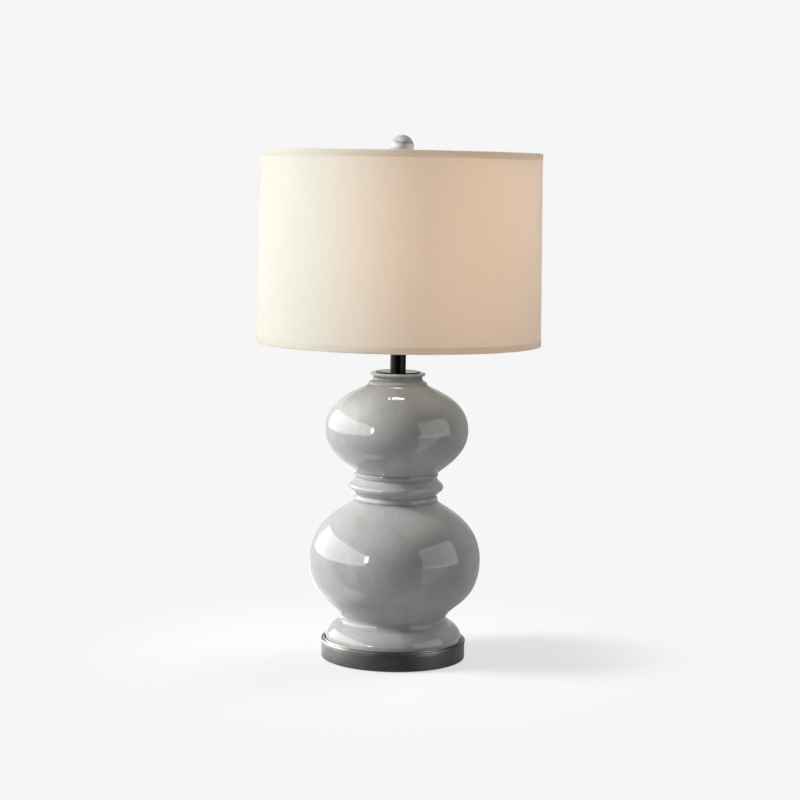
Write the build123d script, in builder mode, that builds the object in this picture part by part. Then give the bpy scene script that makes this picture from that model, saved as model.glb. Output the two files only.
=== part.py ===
from build123d import *
import math
import os

# Table lamp with a double gourd ceramic body, a drum shade on a harp and a ball finial.
# Millimetres. The lamp's axis is Z, it stands on Z = 0, its front is -Y and its cord inlet is at the back.
os.makedirs("parts", exist_ok=True)

# ---------------------------------------------------------------- driving dimensions

# running gaps
SLIDE_GAP = 0.08  # radial, between a shaft and the bore it runs in
REST_GAP = 0.1  # between faces of two pieces that move apart
PLAY = 0.3  # between a skirt or a disc and the hole it drops into

# base
PLINTH_R = 90.6
PLINTH_WALL = 2.4
PLINTH_FOOT_Z = 0.8
PLINTH_EDGE = 0.8
BEAD_Z = 22.4
BEAD_HALF = 1.5
BEAD_PROUD = 0.7
LIP_Z = 25.2
LIP_WIDTH = 1.3
LIP_GAP = 1.2
SEAT_Z = 20.4
PAD_R = 86.0
PAD_T = 2.0
COVER_T = 1.2
WEIGHT_R = 84.0
WEIGHT_BOTTOM_Z = 7.5
WEIGHT_POCKET_R = 24.0
WEIGHT_WEB = 3.0
COVER_SCREW_CIRCLE_R = 60.0
COVER_SCREW_COUNT = 3
COVER_SCREW_ANGLE = 30.0
COVER_SCREW_R = 1.7
COVER_SCREW_HEAD_R = 3.6
COVER_SCREW_HEAD_T = 1.4
COVER_SCREW_TIP_Z = 14.0
COVER_BOSS_R = 7.0

# cord inlet
INLET_Z = 11.0
INLET_BORE_R = 3.75
INLET_BODY_R = 5.2
INLET_FLANGE_R = 7.2
INLET_FLANGE_T = 1.8
INLET_SNAP_R = 5.8
INLET_SNAP_T = 1.6
INLET_INNER_Y = 86.0
CORD_SLOT_WIDTH = 14.0

# ceramic body: the outline's radii and heights
FOOT_R = 85.5
FOOT_EDGE = 1.2
FOOT_SHOULDER_Z = 29.5
FOOT_SHOULDER_MIDDLE = (80.6, 38.6)
CREASE_R = 72.6
CREASE_Z = 44.7
NECK_R = 66.2
NECK_Z = 51.0
NECK_TOP_R = 68.2
NECK_TOP_Z = 57.0
LOWER_BELLY_R = 107.6
LOWER_BELLY_Z = 126.0
WAIST_END_R = 53.4
WAIST_Z = (199.6, 236.8)
WAIST_BEAD_R = 52.6
GROOVE_R = 50.5
GROOVE_Z = (207.8, 229.2)
RING_R = 59.6
RING_Z = 218.0
RING_NOSE = 1.0
RING_NOSE_HALF = 2.3
UPPER_BELLY_R = 89.7
UPPER_BELLY_Z = 289.0
COLLAR_FOOT_R = 36.6
COLLAR_FOOT_Z = 347.2
COLLAR_RING_MIDDLE = (36.2, 349.2)
COLLAR_RING_TOP = (34.4, 350.6)
COLLAR_STEP = (32.6, 351.2)
COLLAR_GROOVE = (30.7, 354.2)
COLLAR_LIP_START = (33.2, 357.8)
COLLAR_LIP = (34.5, 359.7)
COLLAR_TOP_R = 32.8
COLLAR_TOP_Z = 361.5
CERAMIC_WALL = 6.0
CERAMIC_HOLE_R = 24.5
FOOT_HOLE_R = 30.0
FOOT_STEP = 2.0  # how far the hollow in the foot stands off the foot's own corners
# halves of the bulbs: the slope at the end in degrees, and the curve's handles at the end and at the belly
LOWER_BULB_LOW = (60.0, 18.0, 49.0)
LOWER_BULB_HIGH = (55.0, 10.0, 50.0)
UPPER_BULB_LOW = (57.0, 5.0, 31.0)
UPPER_BULB_HIGH = (55.0, 10.0, 43.0)
LOWER_HOLLOW_LOW = (60.0, 16.0, 46.0)
LOWER_HOLLOW_HIGH = (50.0, 10.0, 46.0)
UPPER_HOLLOW_LOW = (60.0, 5.0, 28.0)
UPPER_HOLLOW_HIGH = (20.0, 22.0, 36.0)
GASKET_R = (58.0, 80.0)
GASKET_T = 0.6

# pipe, cap and neck
PIPE_R = 5.0
PIPE_BORE_R = 3.6
PIPE_HOLE_R = 5.3
PIPE_TOP_Z = 414.0
PIPE_THREAD_SPARE = 2.0
NUT_ACROSS_FLATS = 19.0
LOWER_NUT_T = 4.0
LOCK_NUT_T = 3.4
WASHER_R = 16.0
WASHER_T = 1.5
CAP_R = 28.0
CAP_T = 1.4
CAP_SKIRT_DEPTH = 5.0
NECK_TUBE_R = 9.8
NECK_TUBE_WALL = 1.3
NECK_TUBE_TOP_Z = 401.0
NECK_WASHER_R = 10.8
NECK_WASHER_T = 1.4

# harp and its saddle, in the XZ plane
SADDLE_T = 1.6
SADDLE_WIDTH = 12.0
SADDLE_FLAT_X = 14.0
SADDLE_RISE = 5.5
POST_X = 27.0
POST_R = 2.2
POST_TOP_Z = 427.0
HARP_WIRE_R = 1.9
HARP_LEG_TOP_Z = 454.0
HARP_HALF_WIDTH = 57.0
HARP_WIDE_Z = (508.0, 537.0)
HARP_CORNER_X = 30.0
HARP_TOP_Z = 611.5
HARP_BENDS = (40.0, 50.0, 70.0, 18.0)
BOSS_R = 7.0
BOSS_T = 6.0
SLEEVE_Z = (418.0, 434.0)
SLEEVE_R = 3.7
SLEEVE_CHAMFER = 0.5
STUD_SHANK_R = 2.3
STUD_HEAD_R = 4.4
STUD_HEAD_T = 3.6
STUD_FLANGE_R = 7.5
STUD_FLANGE_T = 1.7
STUD_THREAD_R = 3.175
STUD_TOP_Z = 626.4
STUD_POINT = 0.6

# socket
SOCKET_CAP_R = 17.6
SOCKET_CAP_HUB_R = 8.5
SOCKET_CAP_TOP_Z = 426.0
SOCKET_CAP_T = 0.9
SOCKET_BOWL = (2.2, 3.0)  # how far in from the rim, and up from the pipe's end, the bowl's middle lies
SOCKET_SHELL_R = 16.8
SOCKET_SHELL_Z = (421.5, 466.0)
SOCKET_SHELL_T = 0.7
INSULATOR_T = 0.8
INSULATOR_SHORT = 1.0
CORE_R = 14.0
CORE_Z = (421.5, 442.0)
CORE_FLAT_X = 13.0
SCREW_SHELL_CREST_R = 12.9
SCREW_SHELL_TOP_Z = 464.0
SCREW_SHELL_T = 0.5
SCREW_SHELL_FLOOR = 2.0
SCREW_SHELL_TURNS = 5
THREAD_DEPTH = 0.6
CONTACT_R = 4.0
CONTACT_TOP_Z = 445.0
CONTACT_ROUND = 1.0
TERMINAL_Z = 433.0
TERMINAL_HEAD_R = 2.6
TERMINAL_HEAD_T = 1.6
SET_SCREW_Z = 410.6
SET_SCREW_R = 1.5
SET_SCREW_PROUD = 0.8
SWITCH_HOLE_R = 3.2
KNOB_Z = 432.0
KNOB_R = 6.0
KNOB_Y = (-23.0, -34.0)
KNOB_FLUTES = 16
KNOB_ROUND = 0.9
KNOB_SEAT = 6.0
SPINDLE_R = 2.0
SPINDLE_INNER_Y = -8.5

# bulb
BULB_CAP_R = 12.7
BULB_CAP_Z = (449.5, 469.0)
BULB_TIP_R = 4.6
BULB_TIP_T = 1.6
BULB_CAP_T = 0.6
BULB_CAP_FLOOR_R = 9.7
BULB_CAP_FLOOR_T = 1.0
BULB_CAP_SHOULDER = (11.5, 0.4)
BULB_CAP_THREAD = (1.5, 16.0)
BULB_CAP_TURNS = 4
BULB_NECK_R = 13.2
BULB_NECK_TOP_Z = 474.0
BULB_CHEEK = (16.0, 20.0)
BULB_GLOBE_R = 30.0
BULB_GLOBE_Z = 520.0
GLASS_T = 1.0

# shade
SHADE_Z = (398.6, 635.2)
SHADE_BOTTOM_R = 178.0
SHADE_TOP_R = 174.3
TAPE_T = 0.4
FABRIC_T = 0.7
LINER_T = 0.7
TRIM_HEIGHT = 8.0
TRIM_RETURN = 4.4
RING_WIRE_R = 1.6
SEAM_WIDTH = 12.0
HUB_R = 11.0
HUB_T = 2.0
ARM_COUNT = 3
ARM_R = 1.5
ARM_ELBOW_R = 148.0
ARM_BEND = 12.0
BACK = 90.0  # degrees round the axis

# finial
BALL_R = 14.6
BALL_Z = 641.5
BALL_FLAT_Z = 628.2
FINIAL_FLANGE_R = 6.8
FINIAL_FLANGE_T = 1.6
FINIAL_WAIST_R = 4.7
FINIAL_FLARE = 1.4
FINIAL_SEAT_R = 6.2
FINIAL_SEAT_T = 1.2

# ---------------------------------------------------------------- heights that follow from them

SIDES = {"left": -1, "right": 1}
plinth_bore = PLINTH_R - PLINTH_WALL
deck_underside = SEAT_Z - PLINTH_WALL
lip_bore = FOOT_R + LIP_GAP
pocket_top = deck_underside - WEIGHT_WEB
lower_nut_bottom = pocket_top - WASHER_T - LOWER_NUT_T
pipe_bottom = lower_nut_bottom - PIPE_THREAD_SPARE
inlet_outer_y = PLINTH_R + INLET_FLANGE_T

ceramic_bottom = SEAT_Z + GASKET_T
lower_belly = (LOWER_BELLY_R, LOWER_BELLY_Z)
upper_belly = (UPPER_BELLY_R, UPPER_BELLY_Z)
waist_low = (WAIST_END_R, WAIST_Z[0])
waist_high = (WAIST_END_R, WAIST_Z[1])
collar_foot = (COLLAR_FOOT_R, COLLAR_FOOT_Z)
hollow_lower_belly = (LOWER_BELLY_R - CERAMIC_WALL, LOWER_BELLY_Z)
hollow_upper_belly = (UPPER_BELLY_R - CERAMIC_WALL, UPPER_BELLY_Z)
hollow_waist_low = (GROOVE_R - CERAMIC_WALL, WAIST_Z[0] - CERAMIC_WALL / 2)
hollow_waist_high = (GROOVE_R - CERAMIC_WALL, WAIST_Z[1] + CERAMIC_WALL / 2)
hollow_neck = (NECK_R - CERAMIC_WALL, NECK_TOP_Z + FOOT_STEP)
hollow_foot_r = FOOT_R - 2 * CERAMIC_WALL

cap_top = COLLAR_TOP_Z + CAP_T
neck_washer_top = NECK_TUBE_TOP_Z + NECK_WASHER_T
saddle_top = neck_washer_top + SADDLE_T
post_foot = saddle_top + SADDLE_RISE
harp_foot = POST_TOP_Z + PLAY
boss_bottom = HARP_TOP_Z - BOSS_T / 2
boss_top = HARP_TOP_Z + BOSS_T / 2
stud_seat = boss_top + REST_GAP + STUD_FLANGE_T

socket_bottom = saddle_top + LOCK_NUT_T
insulator_r = SOCKET_SHELL_R - SOCKET_SHELL_T
bulb_tip_bottom = CONTACT_TOP_Z + PLAY
bulb_tip_top = bulb_tip_bottom + BULB_TIP_T
bulb_cap_bottom, bulb_cap_top = BULB_CAP_Z
bulb_cap_floor = bulb_cap_bottom + BULB_CAP_FLOOR_T
bulb_cap_inner_r = BULB_CAP_R - THREAD_DEPTH - BULB_CAP_T
glass_bottom = bulb_cap_top + REST_GAP

shade_low, shade_high = SHADE_Z
shade_inner_inset = TAPE_T + FABRIC_T + LINER_T
low_ring_z = shade_low + TAPE_T + RING_WIRE_R
high_ring_z = shade_high - TAPE_T - RING_WIRE_R
seam_low = shade_low + TRIM_HEIGHT
seam_high = shade_high - TRIM_HEIGHT
seam_arc = math.degrees(SEAM_WIDTH / SHADE_BOTTOM_R)
hub_bottom = stud_seat + REST_GAP
hub_top = hub_bottom + HUB_T
arm_z = hub_bottom + HUB_T / 2
finial_bottom = hub_top + REST_GAP
finial_top = BALL_FLAT_Z - REST_GAP


# ---------------------------------------------------------------- shapes that repeat


def turned(*outline, mode=Mode.ADD):
    """The outline of (radius, height) points, turned round the lamp's axis."""
    with BuildSketch(Plane.XZ) as profile:
        with BuildLine():
            Polyline(*outline, close=True)
        make_face()
    revolve(profile.sketch, axis=Axis.Z, mode=mode)


def tube(outer, inner, bottom, top):
    """An upright tube, or a washer, round the lamp's axis."""
    turned((inner, bottom), (outer, bottom), (outer, top), (inner, top))


def rod(radius, bottom, top, at=(0, 0), mode=Mode.ADD):
    """An upright round bar."""
    with BuildSketch(Plane.XY.offset(bottom)) as section:
        with Locations(at):
            Circle(radius)
    extrude(section.sketch, amount=top - bottom, mode=mode)


def bar_along_y(radius, start, end, height, mode=Mode.ADD):
    """A round bar parallel to Y from Y = start to Y = end, at this height over the lamp's axis."""
    with BuildSketch(Plane.XZ.offset(-start)) as section:
        with Locations((0, height)):
            Circle(radius)
    extrude(section.sketch, amount=start - end, mode=mode)


def cover_screw_places():
    """The places of the cover's screws round the lamp's axis."""
    return PolarLocations(COVER_SCREW_CIRCLE_R, COVER_SCREW_COUNT, start_angle=COVER_SCREW_ANGLE)


def screw_rods(radius, bottom, top, mode=Mode.ADD):
    """Upright round bars where the cover's screws are."""
    with BuildSketch(Plane.XY.offset(bottom)) as section:
        with cover_screw_places():
            Circle(radius)
    extrude(section.sketch, amount=top - bottom, mode=mode)


def hex_nut(bottom, thickness):
    """A hexagon nut on the pipe."""
    with BuildSketch(Plane.XY.offset(bottom)) as section:
        RegularPolygon(NUT_ACROSS_FLATS / 2, 6, major_radius=False)
        Circle(PIPE_HOLE_R, mode=Mode.SUBTRACT)
    extrude(section.sketch, amount=thickness)


def shade_radius(height, inset):
    """The shade's outer radius at this height, less the inset."""
    share = (height - shade_low) / (shade_high - shade_low)
    return SHADE_BOTTOM_R + (SHADE_TOP_R - SHADE_BOTTOM_R) * share - inset


def ring_radius(height):
    """The radius of the wire ring that touches the inside of the shade's wall at this height."""
    return shade_radius(height, shade_inner_inset) - RING_WIRE_R


def shade_layer(inset, thickness):
    """A conical layer of the shade's wall, between the tapes that fold over its two edges."""
    low, high = shade_low + TAPE_T, shade_high - TAPE_T
    turned(
        (shade_radius(low, inset + thickness), low),
        (shade_radius(low, inset), low),
        (shade_radius(high, inset), high),
        (shade_radius(high, inset + thickness), high),
    )


def shade_ring(height):
    """A wire ring against the inside of the shade's wall."""
    with BuildSketch(Plane.XZ) as section:
        with Locations((ring_radius(height), height)):
            Circle(RING_WIRE_R)
    revolve(section.sketch, axis=Axis.Z)


def edge_tape(edge, way):
    """Tape folded over an edge of the shade and its wire; way is 1 up from the lower edge, -1 down."""
    inner = ring_radius(edge + way * (TAPE_T + RING_WIRE_R)) - RING_WIRE_R
    turned(
        (shade_radius(edge, 0), edge),
        (shade_radius(edge + way * TRIM_HEIGHT, 0), edge + way * TRIM_HEIGHT),
        (shade_radius(edge + way * TRIM_HEIGHT, TAPE_T), edge + way * TRIM_HEIGHT),
        (shade_radius(edge + way * TAPE_T, TAPE_T), edge + way * TAPE_T),
        (inner, edge + way * TAPE_T),
        (inner, edge + way * TRIM_RETURN),
        (inner - TAPE_T, edge + way * TRIM_RETURN),
        (inner - TAPE_T, edge),
    )


def half_bulb(end, belly, slope, near_end, near_belly):
    """Control points of a smooth curve from a bulb's end, which it leaves at this slope, to its belly."""
    end, belly = Vector(end), Vector(belly)
    way = math.copysign(1, belly.Y - end.Y)
    leaving = Vector(near_end, 0).rotate(Axis.Z, way * slope)
    return end, end + leaving, belly - Vector(0, way * near_belly), belly


def thread_rings(crest_r, start, end, turns):
    """The outline of a round thread between two heights, as rings that go from crest to root and back."""
    step = (end - start) / (2 * turns)
    return [(crest_r - THREAD_DEPTH * (i % 2), start + i * step) for i in range(2 * turns + 1)]


# ---------------------------------------------------------------- base

# felt under the base, cut out round the screw heads
with BuildPart() as felt_pad:
    with BuildSketch(Plane.XY):
        Circle(PAD_R)
        with cover_screw_places():
            Circle(COVER_SCREW_HEAD_R + PLAY, mode=Mode.SUBTRACT)
    extrude(amount=PAD_T)

with BuildPart() as bottom_cover:
    with BuildSketch(Plane.XY.offset(PAD_T)):
        Circle(plinth_bore - PLAY)
        with cover_screw_places():
            Circle(COVER_SCREW_R + PLAY, mode=Mode.SUBTRACT)
    extrude(amount=COVER_T)

with BuildPart() as cover_screws:
    screw_rods(COVER_SCREW_HEAD_R, PAD_T - COVER_SCREW_HEAD_T, PAD_T)
    screw_rods(COVER_SCREW_R, PAD_T, COVER_SCREW_TIP_Z)

# cast weight: a disc with a pocket for the nut, a slot for the cord and three bosses that hold the cover
with BuildPart() as base_weight:
    tube(WEIGHT_R, PIPE_HOLE_R, pocket_top, deck_underside)
    tube(WEIGHT_R, WEIGHT_POCKET_R, WEIGHT_BOTTOM_Z, pocket_top)
    screw_rods(COVER_BOSS_R, PAD_T + COVER_T, pocket_top)
    screw_rods(COVER_SCREW_R, PAD_T, COVER_SCREW_TIP_Z, Mode.SUBTRACT)
    with BuildSketch(Plane.XY.offset(WEIGHT_BOTTOM_Z)):
        with Locations((0, WEIGHT_R)):
            Rectangle(CORD_SLOT_WIDTH, 2 * (WEIGHT_R - WEIGHT_POCKET_R) + CORD_SLOT_WIDTH)
    extrude(amount=pocket_top - WEIGHT_BOTTOM_Z, mode=Mode.SUBTRACT)

# turned metal plinth: a wall with a bead under its rim, and a deck sunk inside a thin lip
with BuildPart() as base_plinth:
    with BuildSketch(Plane.XZ):
        with BuildLine():
            wall = Polyline(
                (plinth_bore, PLINTH_FOOT_Z),
                (PLINTH_R - PLINTH_EDGE, PLINTH_FOOT_Z),
                (PLINTH_R, PLINTH_FOOT_Z + PLINTH_EDGE),
                (PLINTH_R, BEAD_Z - BEAD_HALF),
                (PLINTH_R - BEAD_PROUD, BEAD_Z - BEAD_HALF),
            )
            bead = ThreePointArc(
                wall @ 1,
                (PLINTH_R + BEAD_PROUD, BEAD_Z),
                (PLINTH_R - 2 * BEAD_PROUD, BEAD_Z + BEAD_HALF),
            )
            quirk = Polyline(
                bead @ 1,
                (lip_bore + LIP_WIDTH, BEAD_Z + BEAD_HALF),
                (lip_bore + LIP_WIDTH, LIP_Z - LIP_WIDTH / 2),
            )
            lip = ThreePointArc(
                quirk @ 1,
                (lip_bore + LIP_WIDTH / 2, LIP_Z),
                (lip_bore, LIP_Z - LIP_WIDTH / 2),
            )
            Polyline(
                lip @ 1,
                (lip_bore, SEAT_Z),
                (PIPE_HOLE_R, SEAT_Z),
                (PIPE_HOLE_R, deck_underside),
                (plinth_bore, deck_underside),
                wall @ 0,
            )
        make_face()
    revolve(axis=Axis.Z)
    bar_along_y(INLET_BODY_R, inlet_outer_y, INLET_INNER_Y, INLET_Z, Mode.SUBTRACT)

# snap-in bushing where the cord enters at the back
with BuildPart() as cord_inlet_bushing:
    bar_along_y(INLET_BODY_R, PLINTH_R, INLET_INNER_Y, INLET_Z)
    bar_along_y(INLET_FLANGE_R, inlet_outer_y, PLINTH_R, INLET_Z)
    bar_along_y(INLET_SNAP_R, INLET_INNER_Y + INLET_SNAP_T, INLET_INNER_Y, INLET_Z)
    bar_along_y(INLET_BORE_R, inlet_outer_y, INLET_INNER_Y, INLET_Z, Mode.SUBTRACT)

with BuildPart() as pipe_lower_washer:
    tube(WASHER_R, PIPE_HOLE_R, pocket_top - WASHER_T, pocket_top)

with BuildPart() as pipe_lower_nut:
    hex_nut(lower_nut_bottom, LOWER_NUT_T)

with BuildPart() as threaded_pipe:
    tube(PIPE_R, PIPE_BORE_R, pipe_bottom, PIPE_TOP_Z)

with BuildPart() as foot_gasket:
    tube(GASKET_R[1], GASKET_R[0], SEAT_Z, ceramic_bottom)

# ---------------------------------------------------------------- ceramic body

with BuildPart() as gourd_body:
    with BuildSketch(Plane.XZ):
        with BuildLine():
            # outside, from the foot up to the waist
            foot = Polyline(
                (FOOT_HOLE_R, ceramic_bottom),
                (FOOT_R - FOOT_EDGE, ceramic_bottom),
                (FOOT_R, ceramic_bottom + FOOT_EDGE),
                (FOOT_R, FOOT_SHOULDER_Z),
            )
            shoulder = ThreePointArc(foot @ 1, FOOT_SHOULDER_MIDDLE, (CREASE_R, CREASE_Z))
            neck = ThreePointArc(shoulder @ 1, (NECK_R, NECK_Z), (NECK_TOP_R, NECK_TOP_Z))
            Bezier(*half_bulb(neck @ 1, lower_belly, *LOWER_BULB_LOW))
            Bezier(*half_bulb(waist_low, lower_belly, *LOWER_BULB_HIGH))
            # waist: a bead, a sharp ring between two grooves, and a bead
            low_bead = ThreePointArc(
                waist_low,
                (WAIST_BEAD_R, (WAIST_Z[0] + GROOVE_Z[0]) / 2),
                (GROOVE_R, GROOVE_Z[0]),
            )
            low_flank = Line(low_bead @ 1, (RING_R - RING_NOSE, RING_Z - RING_NOSE_HALF))
            nose = ThreePointArc(
                low_flank @ 1,
                (RING_R, RING_Z),
                (RING_R - RING_NOSE, RING_Z + RING_NOSE_HALF),
            )
            high_flank = Line(nose @ 1, (GROOVE_R, GROOVE_Z[1]))
            ThreePointArc(
                high_flank @ 1,
                (WAIST_BEAD_R, (WAIST_Z[1] + GROOVE_Z[1]) / 2),
                waist_high,
            )
            Bezier(*half_bulb(waist_high, upper_belly, *UPPER_BULB_LOW))
            # collar: a small ring at its foot, a step, a groove and a rounded lip
            Bezier(*half_bulb(collar_foot, upper_belly, *UPPER_BULB_HIGH))
            ThreePointArc(collar_foot, COLLAR_RING_MIDDLE, COLLAR_RING_TOP)
            Line(COLLAR_RING_TOP, COLLAR_STEP)
            ThreePointArc(COLLAR_STEP, COLLAR_GROOVE, COLLAR_LIP_START)
            ThreePointArc(COLLAR_LIP_START, COLLAR_LIP, (COLLAR_TOP_R, COLLAR_TOP_Z))
            # inside, from the collar down to the foot
            mouth = Polyline(
                (COLLAR_TOP_R, COLLAR_TOP_Z),
                (CERAMIC_HOLE_R, COLLAR_TOP_Z),
                (CERAMIC_HOLE_R, COLLAR_FOOT_Z - CERAMIC_WALL),
            )
            Bezier(*half_bulb(mouth @ 1, hollow_upper_belly, *UPPER_HOLLOW_HIGH))
            Bezier(*half_bulb(hollow_waist_high, hollow_upper_belly, *UPPER_HOLLOW_LOW))
            Line(hollow_waist_high, hollow_waist_low)
            Bezier(*half_bulb(hollow_waist_low, hollow_lower_belly, *LOWER_HOLLOW_HIGH))
            Bezier(*half_bulb(hollow_neck, hollow_lower_belly, *LOWER_HOLLOW_LOW))
            Polyline(
                hollow_neck,
                (NECK_R - CERAMIC_WALL, NECK_Z - FOOT_STEP),
                (hollow_foot_r, FOOT_SHOULDER_Z + FOOT_STEP),
                (hollow_foot_r, ceramic_bottom + CERAMIC_WALL),
                (FOOT_HOLE_R, ceramic_bottom + CERAMIC_WALL),
                foot @ 0,
            )
        make_face()
    revolve(axis=Axis.Z)

# dark metal cap on the collar, with a skirt that centres it in the hole
with BuildPart() as vase_cap:
    tube(CAP_R, PIPE_HOLE_R, COLLAR_TOP_Z, cap_top)
    skirt_r = CERAMIC_HOLE_R - PLAY
    tube(skirt_r, skirt_r - CAP_T, COLLAR_TOP_Z - CAP_SKIRT_DEPTH, COLLAR_TOP_Z)
    top_edges = vase_cap.edges().filter_by(GeomType.CIRCLE).group_by(Axis.Z)[-1]
    fillet(top_edges.sort_by(SortBy.RADIUS)[-1], CAP_T / 2)

with BuildPart() as neck_tube:
    tube(NECK_TUBE_R, NECK_TUBE_R - NECK_TUBE_WALL, cap_top, NECK_TUBE_TOP_Z)

with BuildPart() as neck_washer:
    tube(NECK_WASHER_R, PIPE_HOLE_R, NECK_TUBE_TOP_Z, neck_washer_top)

# ---------------------------------------------------------------- harp

# strap across the pipe that rises to two round posts
with BuildPart() as harp_saddle:
    with BuildSketch(Plane.XZ):
        with BuildLine():
            Polyline(
                (0, neck_washer_top),
                (SADDLE_FLAT_X, neck_washer_top),
                (POST_X - POST_R, neck_washer_top + SADDLE_RISE),
                (POST_X + POST_R, neck_washer_top + SADDLE_RISE),
                (POST_X + POST_R, post_foot),
                (POST_X - POST_R - SADDLE_T / 2, post_foot),
                (SADDLE_FLAT_X - SADDLE_T / 2, saddle_top),
                (0, saddle_top),
            )
            mirror(about=Plane.YZ)
        make_face()
    extrude(amount=SADDLE_WIDTH / 2, both=True)
    rod(PIPE_HOLE_R, neck_washer_top, saddle_top, mode=Mode.SUBTRACT)
    for side in SIDES.values():
        rod(POST_R, post_foot, POST_TOP_Z, (side * POST_X, 0))

with BuildPart() as saddle_lock_nut:
    hex_nut(saddle_top, LOCK_NUT_T)

# the harp: one bent wire with a bored boss at its top
with BuildPart() as harp_frame:
    with BuildLine(Plane.XZ) as bent_wire:
        right_side = [
            (POST_X, harp_foot),
            (POST_X, HARP_LEG_TOP_Z),
            (HARP_HALF_WIDTH, HARP_WIDE_Z[0]),
            (HARP_HALF_WIDTH, HARP_WIDE_Z[1]),
            (HARP_CORNER_X, HARP_TOP_Z),
        ]
        left_side = [(-x, z) for x, z in reversed(right_side)]
        FilletPolyline(*right_side, *left_side, radius=HARP_BENDS + HARP_BENDS[::-1])
    with BuildSketch(Plane.XY.offset(harp_foot)):
        with Locations((POST_X, 0)):
            Circle(HARP_WIRE_R)
    sweep(path=bent_wire.line)
    rod(BOSS_R, boss_bottom, boss_top)
    rod(STUD_SHANK_R + SLIDE_GAP, boss_bottom, boss_top, mode=Mode.SUBTRACT)

# locking sleeves over the joints between the harp's legs and the saddle's posts
sleeves = {}
for side_name, side in SIDES.items():
    with BuildPart() as sleeve:
        with BuildSketch(Plane.XY.offset(SLEEVE_Z[0])):
            with Locations((side * POST_X, 0)):
                Circle(SLEEVE_R)
                Circle(POST_R + SLIDE_GAP, mode=Mode.SUBTRACT)
        extrude(amount=SLEEVE_Z[1] - SLEEVE_Z[0])
        rims = sleeve.edges().filter_by(GeomType.CIRCLE).group_by(SortBy.RADIUS)[-1]
        chamfer(rims, SLEEVE_CHAMFER)
    sleeves[f"harp_sleeve_{side_name}"] = sleeve

# stud that turns in the boss: a head below, a flange for the shade, and a threaded end
with BuildPart() as swivel_stud:
    rod(STUD_HEAD_R, boss_bottom - REST_GAP - STUD_HEAD_T, boss_bottom - REST_GAP)
    rod(STUD_SHANK_R, boss_bottom - REST_GAP, boss_top + REST_GAP)
    rod(STUD_FLANGE_R, boss_top + REST_GAP, stud_seat)
    rod(STUD_THREAD_R, stud_seat, STUD_TOP_Z)
    chamfer(swivel_stud.edges().group_by(Axis.Z)[-1], STUD_POINT)

# ---------------------------------------------------------------- socket

# spun cap screwed on the pipe: a hub and a bowl that holds the shell
with BuildPart() as socket_cap:
    bowl_in, bowl_up = SOCKET_BOWL
    with BuildSketch(Plane.XZ):
        with BuildLine():
            outer_hub = Line((SOCKET_CAP_HUB_R, socket_bottom), (SOCKET_CAP_HUB_R, PIPE_TOP_Z))
            outer_bowl = ThreePointArc(
                outer_hub @ 1,
                (SOCKET_CAP_R - bowl_in, PIPE_TOP_Z + bowl_up),
                (SOCKET_CAP_R, SOCKET_SHELL_Z[0]),
            )
            rim = Polyline(
                outer_bowl @ 1,
                (SOCKET_CAP_R, SOCKET_CAP_TOP_Z),
                (SOCKET_SHELL_R, SOCKET_CAP_TOP_Z),
                (SOCKET_SHELL_R, SOCKET_SHELL_Z[0]),
            )
            inner_bowl = ThreePointArc(
                rim @ 1,
                (SOCKET_CAP_R - bowl_in - SOCKET_CAP_T, PIPE_TOP_Z + bowl_up + SOCKET_CAP_T),
                (SOCKET_CAP_HUB_R, PIPE_TOP_Z + SOCKET_CAP_T),
            )
            Polyline(
                inner_bowl @ 1,
                (PIPE_R, PIPE_TOP_Z + SOCKET_CAP_T),
                (PIPE_R, socket_bottom),
                outer_hub @ 0,
            )
        make_face()
    revolve(axis=Axis.Z)
    with BuildSketch(Plane.YZ):
        with Locations((0, SET_SCREW_Z)):
            Circle(SET_SCREW_R)
    extrude(amount=SOCKET_CAP_R, mode=Mode.SUBTRACT)

with BuildPart() as socket_set_screw:
    with BuildSketch(Plane.YZ.offset(PIPE_R)):
        with Locations((0, SET_SCREW_Z)):
            Circle(SET_SCREW_R)
    extrude(amount=SOCKET_CAP_HUB_R - PIPE_R + SET_SCREW_PROUD)

with BuildPart() as socket_shell:
    tube(SOCKET_SHELL_R, SOCKET_SHELL_R - SOCKET_SHELL_T, *SOCKET_SHELL_Z)
    bar_along_y(SWITCH_HOLE_R, 0, -SOCKET_CAP_R, KNOB_Z, Mode.SUBTRACT)

with BuildPart() as socket_insulator:
    low, high = SOCKET_SHELL_Z
    tube(insulator_r, insulator_r - INSULATOR_T, low + INSULATOR_SHORT, high - INSULATOR_SHORT)
    bar_along_y(SWITCH_HOLE_R, 0, -SOCKET_CAP_R, KNOB_Z, Mode.SUBTRACT)

# moulded core with flats for the terminal screws and a bore for the switch spindle
with BuildPart() as socket_core:
    with BuildSketch(Plane.XY.offset(CORE_Z[0])):
        Circle(CORE_R)
        Rectangle(2 * CORE_FLAT_X, 2 * CORE_R, mode=Mode.INTERSECT)
    extrude(amount=CORE_Z[1] - CORE_Z[0])
    bar_along_y(SPINDLE_R + SLIDE_GAP, SPINDLE_INNER_Y + REST_GAP, -SOCKET_CAP_R, KNOB_Z, Mode.SUBTRACT)

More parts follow.
